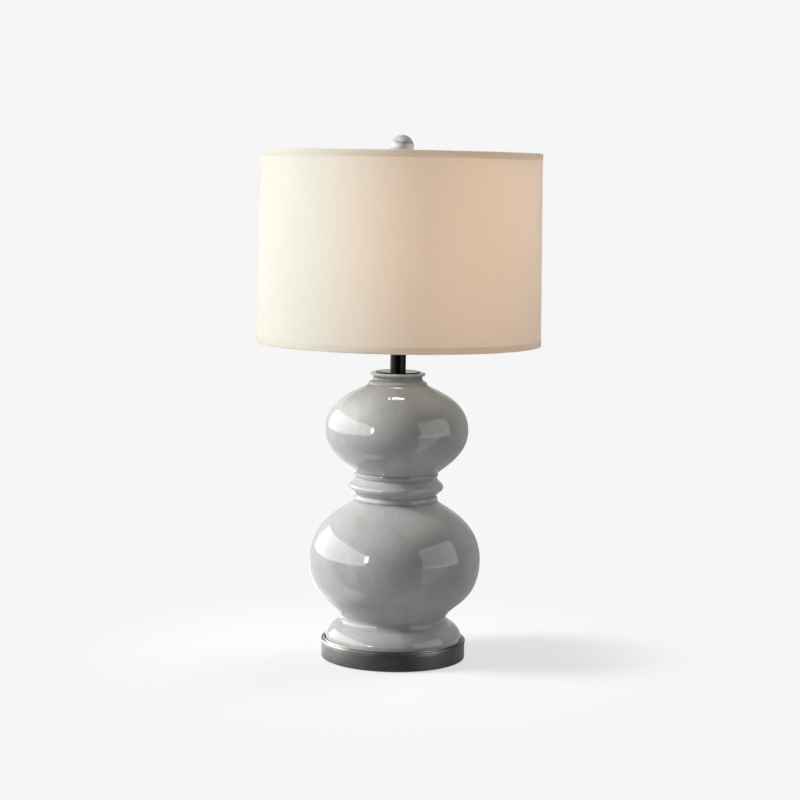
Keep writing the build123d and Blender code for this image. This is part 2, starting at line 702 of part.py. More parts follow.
# formed screw shell: its wall follows the thread, and its floor is open round the contact
with BuildPart() as screw_shell:
    floor_z = CORE_Z[1]
    crest_r = SCREW_SHELL_CREST_R + THREAD_DEPTH
    thread = thread_rings(crest_r, floor_z + SCREW_SHELL_FLOOR, SCREW_SHELL_TOP_Z, SCREW_SHELL_TURNS)
    turned(
        (CONTACT_R + PLAY, floor_z + SCREW_SHELL_T),
        (SCREW_SHELL_CREST_R, floor_z + SCREW_SHELL_T),
        *thread,
        *[(radius + SCREW_SHELL_T, height) for radius, height in reversed(thread)],
        (SCREW_SHELL_CREST_R + SCREW_SHELL_T, floor_z),
        (CONTACT_R + PLAY, floor_z),
    )

with BuildPart() as center_contact:
    rod(CONTACT_R, CORE_Z[1], CONTACT_TOP_Z)
    fillet(center_contact.edges().group_by(Axis.Z)[-1], CONTACT_ROUND)

with BuildPart() as terminal_screws:
    for side in SIDES.values():
        with BuildSketch(Plane.YZ.offset(side * CORE_FLAT_X)):
            with Locations((0, TERMINAL_Z)):
                Circle(TERMINAL_HEAD_R)
        extrude(amount=side * TERMINAL_HEAD_T)

with BuildPart() as switch_spindle:
    bar_along_y(SPINDLE_R, SPINDLE_INNER_Y, KNOB_Y[0] - KNOB_SEAT, KNOB_Z)

# fluted turn knob
with BuildPart() as switch_knob:
    bar_along_y(KNOB_R, KNOB_Y[0], KNOB_Y[1], KNOB_Z)
    chamfer(switch_knob.edges().group_by(Axis.Y)[0], KNOB_ROUND)
    with BuildSketch(Plane.XZ.offset(-KNOB_Y[0])) as flutes:
        with Locations((0, KNOB_Z)):
            with PolarLocations(KNOB_R + KNOB_ROUND / 3, KNOB_FLUTES):
                Circle(KNOB_ROUND)
    extrude(flutes.sketch, amount=KNOB_Y[0] - KNOB_Y[1], mode=Mode.SUBTRACT)
    bar_along_y(SPINDLE_R, KNOB_Y[0], KNOB_Y[0] - KNOB_SEAT, KNOB_Z, Mode.SUBTRACT)

# ---------------------------------------------------------------- bulb

# screw cap, open at its floor for the insulator that carries the tip
with BuildPart() as bulb_screw_cap:
    shoulder_r, shoulder_rise = BULB_CAP_SHOULDER
    thread_start, thread_end = BULB_CAP_THREAD
    turned(
        (BULB_CAP_FLOOR_R, bulb_cap_bottom),
        (shoulder_r, bulb_cap_bottom + shoulder_rise),
        *thread_rings(
            BULB_CAP_R, bulb_cap_bottom + thread_start, bulb_cap_bottom + thread_end, BULB_CAP_TURNS
        ),
        (BULB_CAP_R - THREAD_DEPTH, bulb_cap_top),
        (bulb_cap_inner_r, bulb_cap_top),
        (bulb_cap_inner_r, bulb_cap_floor),
        (BULB_CAP_FLOOR_R, bulb_cap_floor),
    )

with BuildPart() as bulb_insulator:
    turned(
        (0, bulb_tip_top),
        (BULB_TIP_R, bulb_tip_top),
        (BULB_CAP_FLOOR_R, bulb_cap_bottom),
        (BULB_CAP_FLOOR_R, bulb_cap_floor),
        (0, bulb_cap_floor),
    )

with BuildPart() as bulb_tip_contact:
    rod(BULB_TIP_R, bulb_tip_bottom, bulb_tip_top)
    fillet(bulb_tip_contact.edges().group_by(Axis.Z)[0], CONTACT_ROUND)

# blown glass: a neck that swells into a globe, open at the bottom
with BuildPart() as bulb_globe:
    neck_handle, globe_handle = BULB_CHEEK
    with BuildSketch(Plane.XZ):
        with BuildLine():
            for neck_r, globe_r in (
                (BULB_NECK_R, BULB_GLOBE_R),
                (BULB_NECK_R - GLASS_T, BULB_GLOBE_R - GLASS_T),
            ):
                Line((neck_r, glass_bottom), (neck_r, BULB_NECK_TOP_Z))
                Bezier(
                    (neck_r, BULB_NECK_TOP_Z),
                    (neck_r, BULB_NECK_TOP_Z + neck_handle),
                    (globe_r, BULB_GLOBE_Z - globe_handle),
                    (globe_r, BULB_GLOBE_Z),
                )
                CenterArc((0, BULB_GLOBE_Z), globe_r, 0, 90)
            Line((BULB_NECK_R - GLASS_T, glass_bottom), (BULB_NECK_R, glass_bottom))
            Line((0, BULB_GLOBE_Z + BULB_GLOBE_R - GLASS_T), (0, BULB_GLOBE_Z + BULB_GLOBE_R))
        make_face()
    revolve(axis=Axis.Z)

# ---------------------------------------------------------------- shade

with BuildPart() as shade_fabric:
    shade_layer(TAPE_T, FABRIC_T)

with BuildPart() as shade_liner:
    shade_layer(TAPE_T + FABRIC_T, LINER_T)

# overlap of the fabric at the back
with BuildPart() as shade_seam:
    with BuildSketch(Plane.YZ):
        Polygon(
            (shade_radius(seam_low, TAPE_T), seam_low),
            (shade_radius(seam_low, 0), seam_low),
            (shade_radius(seam_high, 0), seam_high),
            (shade_radius(seam_high, TAPE_T), seam_high),
            align=None,
        )
    revolve(axis=Axis.Z, revolution_arc=seam_arc)

with BuildPart() as shade_bottom_ring:
    shade_ring(low_ring_z)

with BuildPart() as shade_top_ring:
    shade_ring(high_ring_z)

with BuildPart() as shade_bottom_trim:
    edge_tape(shade_low, 1)

with BuildPart() as shade_top_trim:
    edge_tape(shade_high, -1)

with BuildPart() as spider_hub:
    tube(HUB_R, STUD_THREAD_R + SLIDE_GAP, hub_bottom, hub_top)

# arms from the hub to the top ring, with an elbow up to the ring's height
with BuildPart() as spider_arms:
    for i in range(ARM_COUNT):
        arm_plane = Plane.XZ.rotated((0, 0, BACK + i * 360 / ARM_COUNT))
        with BuildLine(arm_plane) as bent_arm:
            FilletPolyline(
                (HUB_R - ARM_R, arm_z),
                (ARM_ELBOW_R, arm_z),
                (ring_radius(high_ring_z), high_ring_z),
                radius=ARM_BEND,
            )
        with BuildSketch(Plane(bent_arm.line @ 0, z_dir=bent_arm.line % 0)) as section:
            Circle(ARM_R)
        sweep(section.sketch, path=bent_arm.line)

# ---------------------------------------------------------------- finial

# threaded base: a flange on the hub, a waist and a flat top under the ball
with BuildPart() as finial_base:
    turned(
        (0, finial_bottom),
        (FINIAL_FLANGE_R, finial_bottom),
        (FINIAL_FLANGE_R, finial_bottom + FINIAL_FLANGE_T),
        (FINIAL_WAIST_R, finial_bottom + FINIAL_FLANGE_T + FINIAL_FLARE),
        (FINIAL_WAIST_R, finial_top - FINIAL_SEAT_T - FINIAL_FLARE),
        (FINIAL_SEAT_R, finial_top - FINIAL_SEAT_T),
        (FINIAL_SEAT_R, finial_top),
        (0, finial_top),
    )
    rod(STUD_THREAD_R + SLIDE_GAP, finial_bottom, STUD_TOP_Z + PLAY, mode=Mode.SUBTRACT)

with BuildPart() as finial_ball:
    with BuildSketch(Plane.XZ):
        with Locations((0, BALL_Z)):
            Circle(BALL_R)
        with Locations((0, BALL_FLAT_Z)):
            Rectangle(BALL_R, 2 * BALL_R, align=Align.MIN, mode=Mode.INTERSECT)
    revolve(axis=Axis.Z)

# ---------------------------------------------------------------- hand over

nodes = {
    "felt_pad": felt_pad,
    "bottom_cover": bottom_cover,
    "cover_screws": cover_screws,
    "base_weight": base_weight,
    "base_plinth": base_plinth,
    "cord_inlet_bushing": cord_inlet_bushing,
    "pipe_lower_washer": pipe_lower_washer,
    "pipe_lower_nut": pipe_lower_nut,
    "threaded_pipe": threaded_pipe,
    "foot_gasket": foot_gasket,
    "gourd_body": gourd_body,
    "vase_cap": vase_cap,
    "neck_tube": neck_tube,
    "neck_washer": neck_washer,
    "harp_saddle": harp_saddle,
    "saddle_lock_nut": saddle_lock_nut,
    "harp_frame": harp_frame,
    **sleeves,
    "swivel_stud": swivel_stud,
    "socket_cap": socket_cap,
    "socket_set_screw": socket_set_screw,
    "socket_shell": socket_shell,
    "socket_insulator": socket_insulator,
    "socket_core": socket_core,
    "screw_shell": screw_shell,
    "center_contact": center_contact,
    "terminal_screws": terminal_screws,
    "switch_spindle": switch_spindle,
    "switch_knob": switch_knob,
    "bulb_screw_cap": bulb_screw_cap,
    "bulb_insulator": bulb_insulator,
    "bulb_tip_contact": bulb_tip_contact,
    "bulb_globe": bulb_globe,
    "shade_fabric": shade_fabric,
    "shade_liner": shade_liner,
    "shade_seam": shade_seam,
    "shade_bottom_ring": shade_bottom_ring,
    "shade_top_ring": shade_top_ring,
    "shade_bottom_trim": shade_bottom_trim,
    "shade_top_trim": shade_top_trim,
    "spider_hub": spider_hub,
    "spider_arms": spider_arms,
    "finial_base": finial_base,
    "finial_ball": finial_ball,
}
for name, piece in nodes.items():
    piece.part.label = name
    export_step(piece.part, f"parts/{name}.step")
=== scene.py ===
import math

import bpy
from mathutils import Matrix, Vector, noise


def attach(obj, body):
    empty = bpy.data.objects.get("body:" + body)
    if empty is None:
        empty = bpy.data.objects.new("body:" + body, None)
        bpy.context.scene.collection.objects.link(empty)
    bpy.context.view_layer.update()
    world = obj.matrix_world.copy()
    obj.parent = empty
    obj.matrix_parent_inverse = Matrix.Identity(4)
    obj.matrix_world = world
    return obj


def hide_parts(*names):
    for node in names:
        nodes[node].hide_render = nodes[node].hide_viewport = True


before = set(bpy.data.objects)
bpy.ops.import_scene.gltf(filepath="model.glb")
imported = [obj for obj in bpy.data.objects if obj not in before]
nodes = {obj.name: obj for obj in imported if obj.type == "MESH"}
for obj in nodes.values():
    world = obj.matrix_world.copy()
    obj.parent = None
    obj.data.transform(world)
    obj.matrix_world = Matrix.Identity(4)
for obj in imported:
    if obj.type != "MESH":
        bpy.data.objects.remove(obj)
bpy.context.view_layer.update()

# Table lamp with a glazed double gourd body on a dark plinth, under a cloth drum shade with a ball finial.
# Metres, Z up, the lamp's axis is Z and its front is -Y. Outlines are written in millimetres.
MM = 0.001

# ---------------------------------------------------------------- camera

LENS_PX = 2020.0  # focal length in pixels of an 800 pixel frame
FRAME_PX = 800.0
SENSOR = 36.0
CAMERA_AT = Vector((0.00327, -2.514, 0.5994))
CAMERA_PITCH = 0.1081  # below level, in radians
CAMERA_ROLL = 0.0188  # in radians; it turns the picture clockwise


def add_camera():
    """The photograph's view: a long lens level with the upper part of the shade, looking down a little."""
    camera = bpy.data.objects.new("camera", bpy.data.cameras.new("camera"))
    camera.data.sensor_width = SENSOR
    camera.data.lens = SENSOR * LENS_PX / FRAME_PX
    ahead = Vector((0, math.cos(CAMERA_PITCH), -math.sin(CAMERA_PITCH)))
    up = Vector((0, math.sin(CAMERA_PITCH), math.cos(CAMERA_PITCH)))
    right = Vector((1, 0, 0))
    turn_cos, turn_sin = math.cos(CAMERA_ROLL), math.sin(CAMERA_ROLL)
    axis_x = right * turn_cos + up * turn_sin
    axis_y = up * turn_cos - right * turn_sin
    turned = Matrix((axis_x, axis_y, -ahead)).transposed().to_4x4()
    camera.matrix_world = Matrix.Translation(CAMERA_AT) @ turned
    bpy.context.collection.objects.link(camera)
    bpy.context.scene.camera = camera


# ---------------------------------------------------------------- nodes of a material


def add_node(tree, kind, settings=(), **inputs):
    """A new node; inputs are named sockets (i0, i1, ... by number), with a value or what feeds them."""
    node = tree.nodes.new(kind)
    for key, value in dict(settings).items():
        setattr(node, key, value)
    for key, value in inputs.items():
        numbered = key[0] == "i" and key[1:].isdigit()
        socket = node.inputs[int(key[1:]) if numbered else key.replace("_", " ")]
        if isinstance(value, bpy.types.NodeSocket):
            tree.links.new(value, socket)
        else:
            socket.default_value = value
    return node


def ease(tree, value, start, end, low=0.0, high=1.0, kind="SMOOTHSTEP"):
    """Low where value is start or less, high where it is end or more, and a slope between."""
    return add_node(
        tree, "ShaderNodeMapRange", {"interpolation_type": kind},
        Value=value, From_Min=start, From_Max=end, To_Min=low, To_Max=high,
    ).outputs[0]


def opaque(colour):
    """A colour with its alpha; a socket that feeds a colour stays as it is."""
    return (*colour, 1.0) if isinstance(colour, tuple) else colour


class Finish:
    """A node material under construction. place holds the coordinates on the piece, in metres."""

    def __init__(self, name, **values):
        self.material = bpy.data.materials.new(name)
        self.material.use_nodes = True
        self.tree = self.material.node_tree
        self.shader = self.tree.nodes["Principled BSDF"]
        self.output = self.tree.nodes["Material Output"]
        for socket, value in values.items():
            self.shader.inputs[socket.replace("_", " ").title().replace("Ior", "IOR")].default_value = value
        self.place = self.add("ShaderNodeTexCoord").outputs["Object"]

    def add(self, kind, settings=(), **inputs):
        return add_node(self.tree, kind, settings, **inputs)

    def math(self, operation, a, b=0.0, c=0.0):
        return self.add("ShaderNodeMath", {"operation": operation}, i0=a, i1=b, i2=c).outputs[0]

    def stretched(self, x, y, z, place=None):
        """Coordinates multiplied by x, y and z."""
        place = self.place if place is None else place
        return self.add("ShaderNodeVectorMath", {"operation": "MULTIPLY"}, i0=place, i1=(x, y, z)).outputs[0]

    def noise(self, scale, detail=3.0, roughness=0.55, place=None, distortion=0.0):
        return self.add(
            "ShaderNodeTexNoise", Vector=self.place if place is None else place,
            Scale=scale, Detail=detail, Roughness=roughness, Distortion=distortion,
        ).outputs["Fac"]

    def ramp(self, value, *stops):
        """Stops are (position, grey or colour) pairs."""
        node = self.add("ShaderNodeValToRGB", Fac=value)
        elements = node.color_ramp.elements
        while len(elements) < len(stops):
            elements.new(0.5)
        for element, (position, colour) in zip(elements, stops):
            element.position = position
            element.color = opaque((colour,) * 3 if isinstance(colour, float) else colour)
        return node.outputs["Color"]

    def mix(self, share, a, b, blend="MIX"):
        """Colour a with this share of colour b."""
        settings = {"data_type": "RGBA", "blend_type": blend}
        return self.add("ShaderNodeMix", settings, i0=share, i6=opaque(a), i7=opaque(b)).outputs[2]

    def blotches(self, value, low, high, dark, light):
        """Dark where value is low or less, and light where it is high or more."""
        return self.mix(self.ramp(value, (low, 0.0), (high, 1.0)), dark, light)

    def mark(self, name, share):
        """This share of a named value of the mesh."""
        value = self.add("ShaderNodeAttribute", {"attribute_name": name}).outputs["Fac"]
        return self.math("MULTIPLY", value, share)

    def round_axis(self):
        """The angle round the lamp's axis from its front, in radians, and the height."""
        parts = self.add("ShaderNodeSeparateXYZ", Vector=self.place)
        x, y, z = (parts.outputs[i] for i in range(3))
        return self.math("ARCTAN2", x, self.math("MULTIPLY", y, -1.0)), z

    def unrolled(self, across, along):
        """Flat coordinates for a pattern that is wrapped round the lamp."""
        return self.add("ShaderNodeCombineXYZ", X=across, Y=along, Z=0.0).outputs[0]

    def set(self, socket, value):
        self.tree.links.new(value, self.shader.inputs[socket])

    def uneven_gloss(self, value, least, swing):
        """Roughness from least up to least + swing, as value goes from 0 to 1."""
        self.set("Roughness", self.math("MULTIPLY_ADD", value, swing, least))

    def bump(self, height, distance, strength):
        """Height as relief of this distance in metres; returns the normal and puts it on the shader."""
        relief = self.add("ShaderNodeBump", Height=height, Distance=distance, Strength=strength)
        self.set("Normal", relief.outputs["Normal"])
        return relief.outputs["Normal"]

    def let_through(self, share, colour, normal):
        """This share of the light passes through the piece, in this colour."""
        behind = self.add("ShaderNodeBsdfTranslucent", Color=colour, Normal=normal)
        self.show(self.add("ShaderNodeMixShader", i0=share, i1=self.shader.outputs[0], i2=behind.outputs[0]))

    def show(self, shader):
        self.tree.links.new(shader.outputs[0], self.output.inputs["Surface"])


# ---------------------------------------------------------------- finishes


def glaze():
    """Pale grey glaze over stoneware: soft mottling, faint brush streaks, paler where it thins on ridges, and
    darker in hollows, partly pooled glaze and partly painted shade.
    """
    deep, middle, pale = (0.40, 0.396, 0.377), (0.47, 0.465, 0.446), (0.535, 0.528, 0.509)
    streak_tone, brush_tone = (0.585, 0.582, 0.566), (0.342, 0.342, 0.326)
    thin_tone, pooled_glaze_and_shade_tone = (0.66, 0.662, 0.645), (0.20, 0.208, 0.196)
    f = Finish("glaze", roughness=0.07, ior=1.55)
    wrapped = f.unrolled(*f.round_axis())
    clouds = f.noise(16.0, 4.0, 0.6, distortion=0.4)
    streaks = f.noise(6.0, 5.0, 0.65, place=f.stretched(3.0, 34.0, 1.0, wrapped))
    brush = f.noise(6.0, 4.0, 0.6, place=f.stretched(4.0, 6.0, 1.0, wrapped), distortion=0.5)
    tone = f.ramp(clouds, (0.30, deep), (0.52, middle), (0.72, pale))
    tone = f.mix(f.ramp(streaks, (0.35, 0.0), (0.75, 0.40)), tone, streak_tone)
    tone = f.mix(f.ramp(brush, (0.40, 0.14), (0.62, 0.0)), tone, brush_tone)
    tone = f.mix(f.mark("ridge", 0.40), tone, thin_tone)
    # darker in hollows and creases: partly pooled glaze, partly painted shade where the creases fall into
    # shadow
    tone = f.mix(f.mark("hollow", 0.75), tone, pooled_glaze_and_shade_tone)
    f.set("Base Color", tone)
    f.uneven_gloss(f.noise(120.0, 3.0), 0.05, 0.06)
    f.bump(f.noise(28.0, 2.0, 0.5), 0.0012, 0.25)
    return f.material


def bronze():
    """Dark patinated metal with a fine cast grain, worn brighter in places; its outer edges are brighter,
    partly from wear and partly as a painted highlight.
    """
    dark, middle, worn = (0.070, 0.068, 0.064), (0.105, 0.102, 0.097), (0.150, 0.147, 0.140)
    speck, rubbed_and_highlight = (0.22, 0.216, 0.207), (0.22, 0.216, 0.208)
    f = Finish("bronze", metallic=0.92, roughness=0.3)
    grain = f.noise(900.0, 4.0, 0.7)
    clouds = f.noise(35.0, 5.0, 0.6)
    tone = f.ramp(clouds, (0.32, dark), (0.62, middle), (0.80, worn))
    tone = f.mix(f.ramp(grain, (0.45, 0.0), (0.70, 0.6)), tone, speck)
    # outer edges brighter: partly wear, partly a painted highlight on the lip and bead
    f.set("Base Color", f.mix(f.mark("ridge", 0.6), tone, rubbed_and_highlight))
    f.set("Roughness", f.ramp(grain, (0.3, 0.24), (0.7, 0.36)))
    f.bump(grain, 0.00016, 0.8)
    return f.material


DRAWN = (60.0, 60.0, 900.0)  # lines a metre of the grain, along x, y and z
PRESSED = (500.0, 500.0, 40.0)


def metal(name, dark, light, roughness, metallic=1.0, ior=1.5, grain=DRAWN):
    """Drawn or turned metal: fine lines along the grain, cloudy wear and uneven polish."""
    f = Finish(name, metallic=metallic, roughness=roughness, ior=ior)
    lines = f.noise(1.0, 4.0, 0.7, place=f.stretched(*grain))
    tone = f.blotches(f.noise(45.0, 4.0, 0.6), 0.35, 0.70, dark, light)
    f.set("Base Color", f.mix(f.ramp(lines, (0.35, 0.25), (0.65, 0.0)), tone, tuple(c * 0.7 for c in dark)))
    f.uneven_gloss(lines, max(roughness - 0.08, 0.02), 0.16)
    f.bump(lines, 0.00002, 0.7)
    return f.material


def moulded(name, dark, light, roughness, relief=0.00006):
    """Moulded or painted surface: orange peel, faint clouds of tone and uneven gloss."""
    f = Finish(name, roughness=roughness)
    peel = f.noise(960.0, 3.0, 0.6)
    clouds = f.noise(40.0, 4.0, 0.6)
    f.set("Base Color", f.blotches(clouds, 0.35, 0.65, dark, light))
    f.uneven_gloss(clouds, max(roughness - 0.09, 0.02), 0.18)
    f.bump(peel, relief, 0.5)
    return f.material


WEAVE, TAPE_WEAVE = 0.0007, 0.0009  # pitch of the threads, in metres
SHADE_R = 0.176  # the cloth's mean radius, in metres


def cloth(name, dark, light, through, share, pitch=WEAVE, slub=1.0):
    """Plain woven cloth wrapped round the lamp's axis. This share of the light passes, in the colour through;
    slub is how uneven the threads are."""
    f = Finish(name, roughness=0.85, sheen_weight=0.25, sheen_roughness=0.5)
    angle, height = f.round_axis()
    across = f.math("MULTIPLY", angle, SHADE_R / pitch)
    along = f.math("DIVIDE", height, pitch)
    grid = f.unrolled(across, along)
    warp, weft = (f.math("ABSOLUTE", f.math("SINE", f.math("MULTIPLY", n, math.pi))) for n in (across, along))
    weft_on_top = f.add("ShaderNodeTexChecker", Vector=grid, Scale=1.0).outputs["Fac"]
    crowns = f.mix(weft_on_top, warp, weft)
    warp_slub = f.noise(1.0, 3.0, 0.6, place=f.stretched(0.9, 0.012, 1.0, grid))
    weft_slub = f.noise(1.0, 3.0, 0.6, place=f.stretched(0.012, 0.9, 1.0, grid))
    slubs = f.math("ADD", f.math("MULTIPLY", warp_slub, 0.55), f.math("MULTIPLY", weft_slub, 0.45))
    tone = f.blotches(slubs, 0.38, 0.62, dark, light)
    gap = f.ramp(crowns, (0.0, 0.55 * slub), (0.45, 0.0))
    tone = f.mix(gap, tone, tuple(c * 0.82 for c in dark))
    f.set("Base Color", tone)
    relief = f.math("ADD", crowns, f.math("MULTIPLY", slubs, 1.2 * slub))
    normal = f.bump(relief, 0.00010, 0.5)
    f.let_through(share, f.mix(0.5, through, tone, "MULTIPLY"), normal)
    return f.material


def lining():
    """Matt white plastic sheet on the inside of the shade, slightly yellow, that lets light through."""
    f = Finish("lining", roughness=0.55)
    fine = f.noise(700.0, 2.0)
    tone = f.blotches(f.noise(14.0, 4.0, 0.6), 0.35, 0.65, (0.88, 0.86, 0.81), (0.92, 0.905, 0.865))
    f.set("Base Color", tone)
    f.uneven_gloss(fine, 0.45, 0.2)
    f.let_through(0.5, tone, f.bump(fine, 0.00004, 0.4))
    return f.material


def stone():
    """Polished white stone with grey veins that run round the ball."""
    vein, edge = (0.34, 0.33, 0.32), (0.60, 0.58, 0.55)
    cream, white = (0.80, 0.78, 0.75), (0.86, 0.85, 0.83)
    fine_vein = (0.48, 0.42, 0.37)
    f = Finish("stone", roughness=0.12, coat_weight=0.5, coat_roughness=0.05)
    bands = f.stretched(22.0, 22.0, 120.0)
    swirl = f.noise(1.0, 5.0, 0.6, place=bands, distortion=1.6)
    fine = f.noise(2.4, 4.0, 0.7, place=bands, distortion=0.8)
    tone = f.ramp(swirl, (0.30, vein), (0.40, edge), (0.50, cream), (0.66, white))
    f.set("Base Color", f.mix(f.ramp(fine, (0.36, 0.5), (0.50, 0.0)), tone, fine_vein))
    f.set("Roughness", f.ramp(fine, (0.3, 0.22), (0.6, 0.09)))
    f.bump(fine, 0.00008, 0.35)
    return f.material


def opal():
    """Frosted white bulb glass that lets light through."""
    f = Finish("opal", roughness=0.22, coat_weight=0.4, coat_roughness=0.12)
    frost = f.noise(1200.0, 3.0, 0.6)
    tone = f.blotches(f.noise(30.0, 3.0), 0.35, 0.65, (0.84, 0.835, 0.82), (0.90, 0.895, 0.88))
    f.set("Base Color", tone)
    f.uneven_gloss(frost, 0.16, 0.16)
    f.let_through(0.45, tone, f.bump(frost, 0.00003, 0.4))
    return f.material


def felt():
    """Pressed felt: short matted fibres."""
    f = Finish("felt", roughness=0.95, sheen_weight=0.5, sheen_roughness=0.6)
    fibres = f.noise(1400.0, 5.0, 0.75, distortion=1.2)
    tone = f.blotches(fibres, 0.35, 0.7, (0.018, 0.018, 0.019), (0.085, 0.083, 0.08))
    f.set("Base Color", f.mix(f.ramp(f.noise(60.0, 3.0), (0.4, 0.0), (0.7, 0.4)), tone, (0.06, 0.058, 0.056)))
    f.bump(fibres, 0.0003, 0.8)
    return f.material


# ---------------------------------------------------------------- shapes

ON_AXIS = 1e-6  # a smaller radius is a point on the lamp's axis
LEAST_REACH = 0.05  # millimetres; shorter stretches of an outline count as this long in its curvature
NEIGHBOURS = 8  # points each way that smoothing looks at


def bezier(start, near_start, near_end, end, steps):
    """Points on a cubic curve from start up to, and not with, its end."""
    poles = (start, near_start, near_end, end)
    made = []
    for i in range(steps):
        t = i / steps
        weights = ((1 - t) ** 3, 3 * (1 - t) ** 2 * t, 3 * (1 - t) * t * t, t**3)
        made.append(tuple(sum(w * pole[k] for w, pole in zip(weights, poles)) for k in (0, 1)))
    return made


def arc(start, middle, end, steps):
    """Points on the circle through three points, from start up to, and not with, its end."""
    (ax, ay), (bx, by), (cx, cy) = start, middle, end
    d = 2 * (ax * (by - cy) + bx * (cy - ay) + cx * (ay - by))
    a2, b2, c2 = ax * ax + ay * ay, bx * bx + by * by, cx * cx + cy * cy
    ux = (a2 * (by - cy) + b2 * (cy - ay) + c2 * (ay - by)) / d
    uy = (a2 * (cx - bx) + b2 * (ax - cx) + c2 * (bx - ax)) / d
    radius = math.hypot(ax - ux, ay - uy)
    first, mid, last = (math.atan2(y - uy, x - ux) for x, y in (start, middle, end))
    sweep = (last - first) % (2 * math.pi)
    if (mid - first) % (2 * math.pi) > sweep:
        sweep -= 2 * math.pi
    angles = [first + sweep * i / steps for i in range(steps)]
    return [(ux + radius * math.cos(t), uy + radius * math.sin(t)) for t in angles]


def straight(start, end, steps):
    """Points from start up to, and not with, end."""
    return [tuple(a + (b - a) * i / steps for a, b in zip(start, end)) for i in range(steps)]


def curvature(outline):
    """How sharply a closed outline turns at each point, in degrees a millimetre: outward is positive."""
    turns = []
    for i, point in enumerate(outline):
        a, b, c = Vector(outline[i - 1]), Vector(point), Vector(outline[(i + 1) % len(outline)])
        before, after = b - a, c - b
        reach = max((before.length + after.length) / 2, LEAST_REACH)
        turn = math.atan2(before.x * after.y - before.y * after.x, before.dot(after))
        turns.append(math.degrees(turn) / reach)
    return turns


def smoothed(values, outline, width):
    """Values smoothed along the outline over this width in millimetres."""
    made = []
    count = len(outline)
    for i in range(count):
        total, weight = 0.0, 0.0
        for step in range(-NEIGHBOURS, NEIGHBOURS + 1):
            j = (i + step) % count
            distance = (Vector(outline[j]) - Vector(outline[i])).length
            share = math.exp(-((distance / width) ** 2))
            total += values[j] * share
            weight += share
        made.append(total / weight)
    return made


def share_between(value, low, high):
    """0 at low or less, and 1 at high or more."""
    return min(max((value - low) / (high - low), 0.0), 1.0)


def turned_point(radius, height, around):
    """A point in metres; around is 0 in front and grows towards the right, in radians."""
    return (radius * math.sin(around) * MM, -radius * math.cos(around) * MM, height * MM)


def smooth_mesh(name, verts, faces, sharp):
    """A smooth mesh whose edges over this many degrees stay sharp."""
    mesh = bpy.data.meshes.new(name)
    mesh.from_pydata(verts, [], faces)
    mesh.shade_smooth()
    mesh.set_sharp_from_angle(angle=math.radians(sharp))
    return mesh


def lathe(name, outline, finish, body, slot, *replaced, steps, wobble=None, marks=None, sharp=40.0):
    """A piece turned from a closed outline of (radius, height) points in millimetres, anticlockwise.
    wobble gives a radial offset in millimetres at a point; marks are named values for each outline point."""
    verts, faces, rows = [], [], []
    for radius, height in outline:
        if radius < ON_AXIS:
            rows.append([len(verts)] * steps)
            verts.append((0.0, 0.0, height * MM))
            continue
        rows.append([len(verts) + i for i in range(steps)])
        for i in range(steps):
            around = 2 * math.pi * i / steps
            out = radius + (wobble(radius, height, around) if wobble else 0.0)
            verts.append(turned_point(out, height, around))
    for k, row in enumerate(rows):
        after = rows[(k + 1) % len(rows)]
        for i in range(steps):
            j = (i + 1) % steps
            face = [row[i], row[j], after[j], after[i]]
            face = [v for n, v in enumerate(face) if v != face[n - 1]]
            if len(face) > 2:
                faces.append(face)
    mesh = smooth_mesh(name, verts, faces, sharp)
    for mark, values in (marks or {}).items():
        attribute = mesh.attributes.new(mark, "FLOAT", "POINT")
        for row, value in zip(rows, values):
            for v in row:
                attribute.data[v].value = value
    return put(name, mesh, finish, body, slot, *replaced)


def put(name, mesh, finish, body, slot, *replaced):
    """A mesh as a piece of the lamp: its finish, the body that it rides on and what it stands for."""
    piece = bpy.data.objects.new(name, mesh)
    bpy.context.collection.objects.link(piece)
    mesh.materials.append(finish)
    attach(piece, body)
    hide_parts(*replaced)
    return piece


def dress(finish, *names):
    """A finish on nodes that keep their CAD shape."""
    for name in names:
        mesh = nodes[name].data
        mesh.materials.clear()
        mesh.materials.append(finish)


# ---------------------------------------------------------------- ceramic body

# Points are (radius, height), from the foot up to the collar.
FOOT_HOLE_R = 30.0
FOOT_Z = 21.0
FOOT_R = 85.5
FOOT_EDGE = 1.2  # the rounding of the foot's lower edge
FOOT_SHOULDER_Z = 29.5
FOOT_SHOULDER_MIDDLE = (80.6, 38.6)
CREASE = (72.6, 44.7)
NECK = (66.2, 51.0)
NECK_TOP = (68.2, 57.0)
LOWER_BELLY = (107.6, 126.0)
WAIST_LOW = (53.4, 199.6)
LOW_BEAD = (52.6, 201.2)
LOW_GROOVE = (50.5, 207.6)
RING_LOW = (56.4, 213.0)
RING = (59.6, 217.8)
RING_HIGH = (56.6, 222.8)
HIGH_GROOVE = (50.5, 229.4)
HIGH_BEAD = (52.7, 235.4)
WAIST_HIGH = (53.4, 236.8)
UPPER_BELLY = (89.7, 289.0)
COLLAR_FOOT = (36.6, 347.2)
COLLAR_RING_MIDDLE = (36.2, 349.2)
COLLAR_RING_TOP = (34.4, 350.6)
COLLAR_STEP = (32.6, 351.2)
COLLAR_GROOVE = (30.7, 354.2)
COLLAR_LIP_START = (33.2, 357.8)
COLLAR_LIP = (34.5, 359.7)
COLLAR_TOP = (32.8, 361.5)

# The hollow inside, from the mouth down to the foot.
CERAMIC_WALL = 6.0
CERAMIC_HOLE_R = 24.5
MOUTH_Z = 341.2
WAIST_HOLE_R = 44.5
WAIST_HOLE_Z = (196.6, 239.8)
NECK_HOLE_R = 60.2
NECK_HOLE_Z = (49.0, 59.0)
FOOT_HOLLOW_R = 73.5
FOOT_HOLLOW_Z = (27.0, 31.5)

